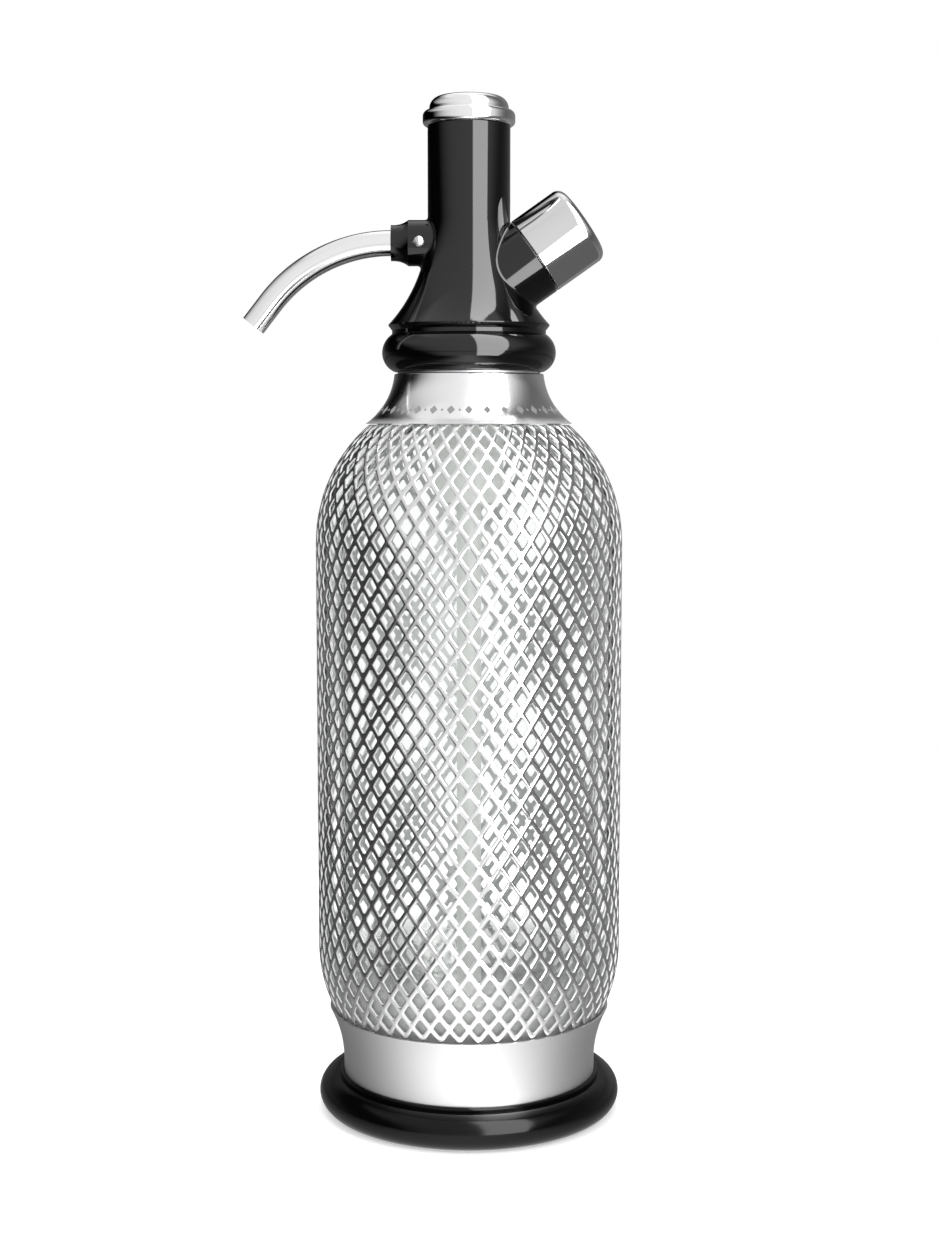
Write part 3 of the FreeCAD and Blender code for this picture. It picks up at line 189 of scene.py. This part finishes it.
eye_level = 0.17


def lamp(name, place, size, power):
    """A soft round lamp that looks at the middle of the siphon."""
    light = bpy.data.lights.new(name, "AREA")
    light.shape = "DISK"
    light.size = size
    light.energy = power
    stand = bpy.data.objects.new(name, light)
    bpy.context.collection.objects.link(stand)
    stand.location = place
    aim = Vector((0, 0, eye_level)) - Vector(place)
    stand.rotation_euler = aim.to_track_quat("-Z", "Y").to_euler()
    stand.visible_camera = False
    stand.visible_glossy = False


lamp("key_lamp", (0.9, -1.2, 1.1), 1.4, 14)
lamp("fill_lamp", (-1.2, -1.0, 0.9), 1.4, 10)
lamp("top_lamp", (0.0, 0.2, 1.7), 1.6, 12)

bpy.ops.mesh.primitive_circle_add(vertices=96, radius=0.5, fill_type="NGON")
floor = bpy.context.object
floor.name = "floor"
floor.visible_glossy = False
floor_paper = Finish("floor_paper", Base_Color=(0.95, 0.95, 0.95), Roughness=0.9, Emission_Color=(1, 1, 1))
floor_paper.set("Emission Strength", floor_paper.node("LightPath", output="Is Camera Ray") * 0.35)
floor.data.materials.append(floor_paper.material)


def only_mirrored(piece):
    """Hides a part of the studio from all but the rays that polished surfaces mirror."""
    piece.visible_camera = False
    piece.visible_diffuse = False
    piece.visible_shadow = False
    piece.visible_transmission = False


def glowing(name):
    """A finish for the tent: it gives off light and mirrors nothing."""
    return Finish(name, Base_Color=(0, 0, 0), Specular_IOR_Level=0.0, Emission_Strength=1.0)


# The tent: its wall fades to both sides, has a darker seam at table height and a lit back, and the strip
# lamp runs up it and on over the roof. Its floor has a bright pool in front of the siphon.
degree = 180 / math.pi
tent_radius, tent_height = 0.55, 2.6
bpy.ops.mesh.primitive_cylinder_add(vertices=96, radius=tent_radius, depth=tent_height,
                                    location=(0, 0, tent_height / 2), end_fill_type="NOTHING")
bpy.ops.object.transform_apply(location=True)
wall = bpy.context.object
wall.name = "tent_wall"
wall_glow = glowing("tent_wall")
bearing = wall_glow.axis("X").maths("ARCTAN2", wall_glow.axis("Y") * -1) * degree
height = wall_glow.axis("Z")
spread = wall_glow.node("MapRange", {}, {0: bearing, 1: -5.0, 2: 5.0, 3: 0.58, 4: 0.46})
widened = bearing * (1.75 - height.maths("MINIMUM", spread) * 2)
front = wall_glow.ramp(widened / 360 + 0.5, [
    (0.0, 0.16), (0.08, 0.03), (0.16, 0.0), (0.25, 0.0), (0.268, 0.03), (0.289, 0.19), (0.317, 0.43),
    (0.344, 0.63), (0.37, 0.78), (0.40, 0.88), (0.44, 0.96), (0.5, 1.03), (0.63, 1.0), (0.665, 0.72),
    (0.69, 0.44), (0.72, 0.22), (0.75, 0.13), (0.80, 0.17), (0.88, 0.23), (1.0, 0.28),
])
seam = height.between(0.19, 0.212, 0.006)
strip_edge, strip_soft, strip_glow = 10.5, 0.8, 7.5
strip = bearing.between(strip_edge, 40 + height.maths("MINIMUM", 1.3) * 30, strip_soft) * strip_glow
lowest = wall_glow.node("MapRange", {}, {0: bearing, 1: -30.0, 2: 30.0, 3: 0.75, 4: 1.3})
overhead = wall_glow.node("MapRange", {}, {0: height, 1: lowest, 2: lowest + 0.35, 4: 0.98})
back_light = (wall_glow.node("MapRange", {}, {0: height, 1: 0.75, 2: 1.0, 4: 1.3})
              * wall_glow.node("MapRange", {}, {0: wall_glow.axis("Y"), 1: 0.3, 2: 0.5}))
around = (front * (1 - seam * 0.5)).maths("MAXIMUM", overhead).maths("MAXIMUM", back_light)
wall_glow.set("Emission Color", around + strip)
wall.data.materials.append(wall_glow.material)
only_mirrored(wall)

bpy.ops.mesh.primitive_circle_add(vertices=96, radius=tent_radius, fill_type="NGON",
                                  location=(0, 0, tent_height))
bpy.ops.object.transform_apply(location=True)
roof = bpy.context.object
roof.name = "tent_roof"
roof_glow = glowing("tent_roof")
ahead, aside = roof_glow.axis("Y") * -1, roof_glow.axis("X")
strip = (aside.maths("ARCTAN2", ahead) * degree).between(strip_edge, 79, strip_soft)
strip = strip * (ahead * ahead + aside * aside).between(0.04, 1, 0.01) * strip_glow
roof_glow.set("Emission Color", roof_glow.node("MapRange", {}, {0: ahead, 1: -0.5, 2: 0.1, 3: 1.3}) + strip)
roof.data.materials.append(roof_glow.material)
only_mirrored(roof)

bpy.ops.mesh.primitive_circle_add(vertices=96, radius=tent_radius, fill_type="NGON")
ground = bpy.context.object
ground.name = "tent_floor"
ground_glow = glowing("tent_floor")
beside, behind = ground_glow.axis("X"), ground_glow.axis("Y")
reach = (beside * beside + behind * behind).maths("SQRT")
turn = beside.maths("ARCTAN2", behind * -1) * degree
width = ground_glow.node("MapRange", {}, {0: reach, 1: 0.1, 2: 0.35, 3: 50.0, 4: 20.0})
middle = turn.maths("DIVIDE", width)
pool = (middle * middle * -1).maths("EXPONENT") * 1.55
side = ground_glow.node("MapRange", {}, {0: beside, 1: -0.2, 2: 0.2, 3: 0.03, 4: 0.16})
level = ground_glow.node("MapRange", {}, {0: reach, 1: 0.1, 2: 0.3, 3: 0.2, 4: side})
ground_glow.set("Emission Color", pool + level)
ground.data.materials.append(ground_glow.material)
only_mirrored(ground)
bpy.ops.object.select_all(action="DESELECT")


# ---------------------------------------------------------------- foot ring and head
# The heavy ring that the siphon stands on and the whole head are black phenolic moulding. The
# head is polished to a hard gloss; the foot ring is duller from standing and wiping.
black_moulding = Finish("black_moulding", IOR=1.5)
swirl = black_moulding.noise(9, 4, 0.6)
black_moulding.set("Base Color", black_moulding.mixed(swirl, (0.0008, 0.0007, 0.0008),
                                                      (0.0018, 0.0016, 0.0018)))
black_moulding.set("Roughness", 0.03 + swirl * 0.03 + black_moulding.noise(900, 2, 0.7) * 0.02)
black_moulding.bump(black_moulding.noise(28, 2, 0.4), 0.03, 0.0004)
black_moulding.onto("head_ring", "head_housing", "spout_ferrule", "plunger")

worn_moulding = Finish("worn_moulding", IOR=1.5, Specular_IOR_Level=0.2)
scuffs = worn_moulding.noise(60, 5, 0.7)
worn_moulding.set("Base Color", worn_moulding.mixed(scuffs, (0.001, 0.0009, 0.001), (0.0025, 0.0023, 0.0025)))
worn_moulding.set("Roughness", 0.11 + scuffs * 0.06)
worn_moulding.bump(worn_moulding.noise(700, 3, 0.6), 0.05, 0.00005)
worn_moulding.onto("base_ring")


# ---------------------------------------------------------------- foot pad and seals
# Rubber washers and pads: matt, dark, a little dusty from moulding talc.
seal_rubber = Finish("seal_rubber", Specular_IOR_Level=0.3)
talc = seal_rubber.noise(60, 5, 0.65)
seal_rubber.set("Base Color", seal_rubber.mixed(talc, (0.018, 0.018, 0.018), (0.05, 0.049, 0.047)))
seal_rubber.set("Roughness", 0.62 + talc * 0.2)
seal_rubber.bump(seal_rubber.noise(1400, 3, 0.6), 0.2, 0.00005)
seal_rubber.onto("base_pad", "head_gasket", "riser_seal", "gas_flap", "stem_seal", "valve_disc",
                 "spout_seal", "charger_seal", "charger_pad")


# ---------------------------------------------------------------- steel band
# The flared band over the foot: thin steel, spun to shape and satin finished, so it shows fine
# turning lines that run round it.
satin_steel = Finish("satin_steel", Metallic=1.0)
turned_point = satin_steel.node("CombineXYZ", {}, {"X": satin_steel.axis("X") * 14, "Y": 0.0,
                                                   "Z": satin_steel.axis("Z") * 5200})
turning = satin_steel.noise(1.0, 3, 0.6, turned_point)
cloud = satin_steel.noise(35, 3, 0.5)
satin_steel.set("Base Color", satin_steel.mixed(cloud, (0.70, 0.695, 0.70), (0.76, 0.755, 0.76)))
satin_steel.set("Roughness", 0.34 + cloud * 0.05 + turning * 0.04)
satin_steel.bump(turning, 0.08, 0.00004)
satin_steel.onto("base_collar")


# ---------------------------------------------------------------- mesh jacket
# The open jacket round the glass: steel sheet punched into a lattice of upright diamonds, drawn to
# the bottle's shape, polished outside and left raw within. Its edge is cut through the lattice at
# the foot and is tucked under the bell at the shoulder.
columns, rows_up = 48, 21
half_across = 3.5
half_along = 5.11
strand = 1.6
lattice_thick = 0.7
bevel_across, bevel_deep = 0.26, 0.2
jacket_radius = 53.55
heel_level, heel_arc = 59.5, 51.34
shoulder_level, shoulder_arc = 202.2, 54.16
foot_level, top_level = 36.5, 243.2
heel_length = heel_arc * math.asin((heel_level - foot_level) / heel_arc)
first_row = 6.06


mesh_steel = Finish("mesh_steel", Metallic=0.95)
grime = mesh_steel.noise(45, 4, 0.6)
mesh_steel.set("Base Color", mesh_steel.mixed(grime, (0.70, 0.70, 0.705), (0.80, 0.80, 0.805)))
mesh_steel.set("Roughness", 0.05 + grime * 0.05)
mesh_steel.bump(mesh_steel.noise(900, 3, 0.6), 0.04, 0.00004)

# The jacket's inside is dull, rough steel, but its colour is painted nearly white: painted light that stands
# in for the light its inner faces catch and mirror inside the bottle.
raw_steel_painted_pale = Finish("raw_mesh_steel_painted_pale", Metallic=0.15)
smut = raw_steel_painted_pale.noise(80, 4, 0.6)
raw_steel_painted_pale.set("Base Color", raw_steel_painted_pale.mixed(smut, (0.90, 0.90, 0.905), (0.96, 0.96, 0.965)))
raw_steel_painted_pale.set("Roughness", 0.38 + smut * 0.08)


def add_piece(name, points, faces, *finishes):
    """Makes an object from points and faces, with its finishes."""
    mesh = bpy.data.meshes.new(name)
    mesh.from_pydata(points, [], faces)
    for finish in finishes:
        mesh.materials.append(finish.material)
    piece = bpy.data.objects.new(name, mesh)
    bpy.context.collection.objects.link(piece)
    bpy.context.view_layer.objects.active = piece
    piece.select_set(True)
    return piece


def diamond(gap, round_tip, round_side):
    """Twelve points round a diamond with rounded corners, gap inside the lattice lines, in millimetres."""
    side = math.hypot(half_across, half_along)
    scale = 1 - gap * side / (half_across * half_along)
    across, along = half_across * scale, half_along * scale
    tip_half = math.atan2(half_across, half_along)
    side_half = math.pi / 2 - tip_half
    unit = (half_across / side, half_along / side)
    near_tip = round_tip / math.tan(tip_half)
    near_side = round_side / math.tan(side_half)
    tip = along - round_tip * (1 / math.sin(tip_half) - 1)
    flank = across - round_side * (1 / math.sin(side_half) - 1)
    quarter = [(flank, 0), (across - near_side * unit[0], near_side * unit[1]),
               (near_tip * unit[0], along - near_tip * unit[1])]
    upper = quarter + [(0, tip)] + [(-x, y) for x, y in reversed(quarter)]
    lower = [(-x, -y) for x, y in quarter[1:]] + [(0, -tip)] + [(x, -y) for x, y in reversed(quarter[1:])]
    return upper + lower


edge = [(half_across * (1 - t), half_along * t) for t in (0, 0.25, 0.75)]
tile = edge + [(0, half_along)] + [(-x, y) for x, y in reversed(edge)]
tile += [(-x, -y) for x, y in edge[1:]] + [(0, -half_along)] + [(x, -y) for x, y in reversed(edge[1:])]

lip = diamond(strand / 2 - bevel_across, 0.55, 0.6)
hole = diamond(strand / 2, 0.7, 0.75)
rings = [(tile, 0.0), (lip, 0.0), (hole, -bevel_deep), (hole, -lattice_thick), (tile, -lattice_thick)]
points = [(x, y, depth) for outline, depth in rings for x, y in outline]
corners = len(tile)
faces = [(corners * r + i, corners * r + (i + 1) % corners,
          corners * (r + 1) + (i + 1) % corners, corners * (r + 1) + i)
         for r in range(len(rings) - 1) for i in range(corners)]
jacket = add_piece("mesh_jacket_lattice", points, faces, mesh_steel, raw_steel_painted_pale)
jacket.data.polygons.foreach_set("material_index", [0] * 2 * corners + [1] * 2 * corners)


def repeat(piece, count, step):
    """Copies all of a piece's mesh count times, step apart, and joins the copies."""
    rows = piece.modifiers.new("repeat", "ARRAY")
    rows.count = count
    rows.use_relative_offset = False
    rows.use_constant_offset = True
    rows.constant_offset_displace = step
    bpy.ops.object.modifier_apply(modifier=rows.name)


repeat(jacket, 2, (half_across, half_along, 0))
repeat(jacket, rows_up, (0, 2 * half_along, 0))
repeat(jacket, columns, (2 * half_across, 0, 0))


def hem_line(gap):
    """The lower edge of a bottom diamond, gap outside its lattice lines, with a rounded end."""
    drop = gap * math.hypot(half_across, half_along) / half_across
    rise = half_along / half_across
    points = [(x, rise * (x - half_across) - drop) for x in (half_across, 0.93 * half_across, 0.8)]
    points += [(0, -half_along - 1.05 * gap)]
    return points + [(-x, y) for x, y in reversed(points[:-1])]


lattice_edge = sorted((point for point in tile if point[1] <= 0), reverse=True)
hem_lip, hem_end = hem_line(strand / 2 - bevel_across), hem_line(strand / 2)
rings = [(lattice_edge, 0.0), (hem_lip, 0.0), (hem_end, -bevel_deep), (hem_end, -lattice_thick),
         (lattice_edge, -lattice_thick)]
points = [(x, y, depth) for outline, depth in rings for x, y in outline]
corners = len(lattice_edge)
sides = corners - 1
faces = [(corners * r + i, corners * r + i + 1, corners * (r + 1) + i + 1, corners * (r + 1) + i)
         for r in range(len(rings) - 1) for i in range(sides)]
jacket.select_set(False)
hem = add_piece("hem", points, faces, mesh_steel, raw_steel_painted_pale)
hem.data.polygons.foreach_set("material_index", [0] * 2 * sides + [1] * 2 * sides)
repeat(hem, columns, (2 * half_across, 0, 0))
jacket.select_set(True)
bpy.context.view_layer.objects.active = jacket
bpy.ops.object.join()

flat = np.empty(len(jacket.data.vertices) * 3)
jacket.data.vertices.foreach_get("co", flat)
flat = flat.reshape(-1, 3)
turn = flat[:, 0] * math.pi / (columns * half_across) + math.pi / columns
slope = flat[:, 1] + first_row
on_heel = np.clip(heel_length - slope, 0, None) / heel_arc
straight = np.clip(slope - heel_length, 0, shoulder_level - heel_level)
on_shoulder = np.clip(slope - heel_length - (shoulder_level - heel_level), 0, None) / shoulder_arc
lean = on_heel + on_shoulder
out_of_arc = np.where(on_shoulder > 0, shoulder_arc, heel_arc)
radius = jacket_radius - out_of_arc * (1 - np.cos(lean)) + flat[:, 2] * np.cos(lean)
height = (heel_level + straight - (heel_arc + flat[:, 2]) * np.sin(on_heel)
          + (shoulder_arc + flat[:, 2]) * np.sin(on_shoulder))
wrapped = np.stack([radius * np.sin(turn), -radius * np.cos(turn), height], 1) / 1000
jacket.data.vertices.foreach_set("co", wrapped.ravel())
jacket.data.update()

bpy.ops.object.mode_set(mode="EDIT")
bpy.ops.mesh.select_all(action="SELECT")
bpy.ops.mesh.remove_doubles(threshold=0.00002)
bpy.ops.mesh.select_all(action="SELECT")
bpy.ops.mesh.bisect(plane_co=(0, 0, top_level / 1000), plane_no=(0, 0, 1), use_fill=True, clear_outer=True)
bpy.ops.mesh.select_all(action="SELECT")
bpy.ops.mesh.normals_make_consistent(inside=False)
bpy.ops.object.mode_set(mode="OBJECT")
bpy.ops.object.shade_smooth_by_angle(angle=math.radians(42))

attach(jacket, "bottle")
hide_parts("mesh_jacket")
bpy.ops.object.select_all(action="DESELECT")


# ---------------------------------------------------------------- glass bottle
# The blown bottle: clear glass with the faint green of its melt. Its thick heel is painted pale and hazy:
# painted light that stands in for the light the thick glass gathers and bends.
clear_glass = Finish("clear_glass")
# Painted light: below the heel line the glass turns greyer, rougher and less metallic, standing in for light
# bent in the thick heel.
above_heel = clear_glass.node("MapRange", {"interpolation_type": "SMOOTHSTEP"},
                              {0: clear_glass.axis("Z"), 1: 0.048, 2: 0.064})
clear_glass.set("Base Color", clear_glass.mixed(above_heel, (0.60, 0.61, 0.60), (0.95, 0.96, 0.955)))
clear_glass.set("Metallic", 0.2 + above_heel * 0.8)
clear_glass.set("Roughness", 0.25 - above_heel * 0.2 + clear_glass.noise(30, 3, 0.5) * 0.04)
through = clear_glass.tree.nodes.new("ShaderNodeBsdfTransparent")
through.inputs["Color"].default_value = (0.992, 0.997, 0.994, 1)
# The mix factor is the glass's own Fresnel gloss plus painted light in the heel, which makes the heel pale
# and hazy.
gloss_and_painted_heel_light = clear_glass.node("Fresnel", {}, {"IOR": 1.06}) + (1 - above_heel) * 0.5
mix = clear_glass.tree.nodes.new("ShaderNodeMixShader")
clear_glass.feed(mix.inputs[0], gloss_and_painted_heel_light)
clear_glass.tree.links.new(through.outputs[0], mix.inputs[1])
clear_glass.tree.links.new(clear_glass.shader.outputs[0], mix.inputs[2])
clear_glass.tree.links.new(mix.outputs[0], clear_glass.tree.nodes["Material Output"].inputs["Surface"])
clear_glass.onto("glass_bottle")


# ---------------------------------------------------------------- bell and bright parts
# The bell over the bottle's shoulder, the spout, the button and the charger holder's cap are
# brass, turned or bent to shape, polished and chrome plated.
chrome = Finish("chrome", Metallic=1.0)
smear = chrome.noise(40, 4, 0.6)
chrome.set("Base Color", chrome.mixed(smear, (0.80, 0.795, 0.80), (0.85, 0.845, 0.85)))
chrome.set("Roughness", 0.03 + smear * 0.03)
chrome.onto("spout_tube", "button_cap", "button_ring")

cap_chrome = Finish("cap_chrome", Metallic=1.0)
thumbed = cap_chrome.noise(55, 4, 0.6)
cap_chrome.set("Base Color", cap_chrome.mixed(thumbed, (0.63, 0.63, 0.635), (0.67, 0.67, 0.675)))
cap_chrome.set("Roughness", 0.03 + thumbed * 0.02)
cap_chrome.onto("charger_cap")

bell_chrome = Finish("bell_chrome")
wiped = bell_chrome.noise(40, 4, 0.6)
above_foot = bell_chrome.node("MapRange", {"interpolation_type": "SMOOTHSTEP"},
                              {0: bell_chrome.axis("Z"), 1: 0.2437, 2: 0.2458})
bell_chrome.set("Base Color", bell_chrome.mixed(wiped, (0.80, 0.795, 0.80), (0.85, 0.845, 0.85)))
bell_chrome.set("Roughness", 0.22 + wiped * 0.03 - above_foot * 0.06)
bell_chrome.set("Metallic", 0.6 + above_foot * 0.4)
bell_chrome.onto("shoulder_collar")


# ---------------------------------------------------------------- marks on the bell
# A row of small lozenges with dots between them is etched round the bell near its foot. They are dull
# and show grey against the polish. Each is a thin flat plate that follows the bell's outside.
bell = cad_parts["shoulder_collar"].data
bell_skin = BVHTree.FromPolygons([v.co for v in bell.vertices], [p.vertices for p in bell.polygons])
marks, mark_level = 32, 0.2482
lozenge, dot = (0.044, 0.0014, 4), (0.012, 0.0004, 8)
mark_floor, mark_top = -0.00005, 0.00009
clear_of_bell = 0.06


def on_bell(angle, height, lift):
    """The point of the bell's outside at an angle and height, lifted a little off it."""
    outward = Vector((math.sin(angle), -math.cos(angle), 0))
    place = bell_skin.ray_cast(outward * clear_of_bell + Vector((0, 0, height)), -outward)[0]
    return place + outward * lift


points, faces = [], []
for i in range(2 * marks):
    across, along, corners = lozenge if i % 2 == 0 else dot
    centre = math.pi * i / marks
    first = len(points)
    for lift in (mark_floor, mark_top):
        for j in range(corners):
            corner = 2 * math.pi * j / corners
            points.append(on_bell(centre + across * math.cos(corner),
                                  mark_level + along * math.sin(corner), lift))
    top = first + corners
    faces.append([top + j for j in range(corners)])
    faces.append([first + j for j in reversed(range(corners))])
    faces += [[first + j, first + (j + 1) % corners, top + (j + 1) % corners, top + j]
              for j in range(corners)]
dull_mark = Finish("dull_mark", Specular_IOR_Level=0.2)
worn = dull_mark.noise(300, 3, 0.6)
dull_mark.set("Base Color", dull_mark.mixed(worn, (0.20, 0.20, 0.20), (0.30, 0.30, 0.30)))
dull_mark.set("Roughness", 0.6 + worn * 0.15)
bell_marks = add_piece("bell_marks", points, faces, dull_mark)
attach(bell_marks, "bottle")
bpy.ops.object.select_all(action="DESELECT")


# ---------------------------------------------------------------- neck ring and light metal
# The threaded ring on the neck, the head's thread sleeve, the two valve blocks and the charger's
# cup are turned or cast aluminium, left as they came off the tool.
light_metal = Finish("light_metal", Metallic=1.0)
dull = light_metal.noise(120, 4, 0.6)
light_metal.set("Base Color", light_metal.mixed(dull, (0.55, 0.56, 0.57), (0.7, 0.71, 0.72)))
light_metal.set("Roughness", 0.3 + dull * 0.2)
light_metal.onto("neck_ring", "thread_sleeve", "valve_block", "valve_body", "charger_cup")


# ---------------------------------------------------------------- tubes
# The riser tube with its foot, the measuring tube and the neck's liner are thin milky polythene.
# A faint glow painted on their walls is painted light that stands in for the light soaking through them, so
# they look nearly white inside the bottle.
# The emission is painted light: a faint glow standing in for light that passes through the thin walls.
milky = Finish("milky_plastic", IOR=1.5, Alpha=0.85, Emission_Color=(0.9, 0.92, 0.9),
               Emission_Strength=0.1)
milk = milky.noise(50, 3, 0.5)
milky.set("Base Color", milky.mixed(milk, (0.76, 0.775, 0.75), (0.83, 0.84, 0.82)))
milky.set("Roughness", 0.35 + milk * 0.15)
milky.onto("neck_liner", "measuring_tube", "riser_tube", "riser_foot")


# ---------------------------------------------------------------- steel and brass inside
# Plain drawn or turned steel for the duct, spring, pins, screws, stem and charger; turned brass for
# the plug, gland and nozzle.
plain_steel = Finish("plain_steel", Metallic=1.0)
stain = plain_steel.noise(200, 4, 0.6)
plain_steel.set("Base Color", plain_steel.mixed(stain, (0.42, 0.42, 0.43), (0.58, 0.58, 0.59)))
plain_steel.set("Roughness", 0.25 + stain * 0.2)
plain_steel.onto("water_duct", "valve_spring", "spout_pin", "piercing_pin", "block_screws",
                 "valve_stem", "co2_charger")

brass = Finish("brass", Metallic=1.0)
tarnish = brass.noise(150, 4, 0.6)
brass.set("Base Color", brass.mixed(tarnish, (0.60, 0.42, 0.18), (0.78, 0.60, 0.32)))
brass.set("Roughness", 0.22 + tarnish * 0.2)
brass.onto("valve_plug", "stem_gland", "piercing_nozzle")


# ---------------------------------------------------------------- valve spring
# The coil of drawn steel wire that lifts the button. It stands on the stem's gland. On the real siphon it
# shortens as the button goes down; here it is one fixed coil that moves with the head.
wire, coil_radius, turns = 0.00045, 0.0065, 5.5
coil_foot, coil_top = 0.3315, 0.3463
along_coil, around_wire = 24, 8
points, faces = [], []
rings_in_coil = int(turns * along_coil)
for i in range(rings_in_coil + 1):
    angle = 2 * math.pi * i / along_coil
    level = coil_foot + (coil_top - coil_foot) * i / rings_in_coil
    for j in range(around_wire):
        side = 2 * math.pi * j / around_wire
        out = coil_radius + wire * math.cos(side)
        points.append((out * math.cos(angle), out * math.sin(angle), level + wire * math.sin(side)))
for i in range(rings_in_coil):
    first, after = i * around_wire, (i + 1) * around_wire
    faces += [(first + j, after + j, after + (j + 1) % around_wire, first + (j + 1) % around_wire)
              for j in range(around_wire)]
faces += [tuple(range(around_wire)), tuple(range(len(points) - around_wire, len(points)))]
spring = add_piece("button_spring", points, faces, plain_steel)
bpy.ops.object.mode_set(mode="EDIT")
bpy.ops.mesh.select_all(action="SELECT")
bpy.ops.mesh.normals_make_consistent(inside=False)
bpy.ops.object.mode_set(mode="OBJECT")
bpy.ops.object.shade_smooth_by_angle(angle=math.radians(60))
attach(spring, "head")
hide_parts("valve_spring")
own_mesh(spring)
bpy.ops.object.select_all(action="DESELECT")
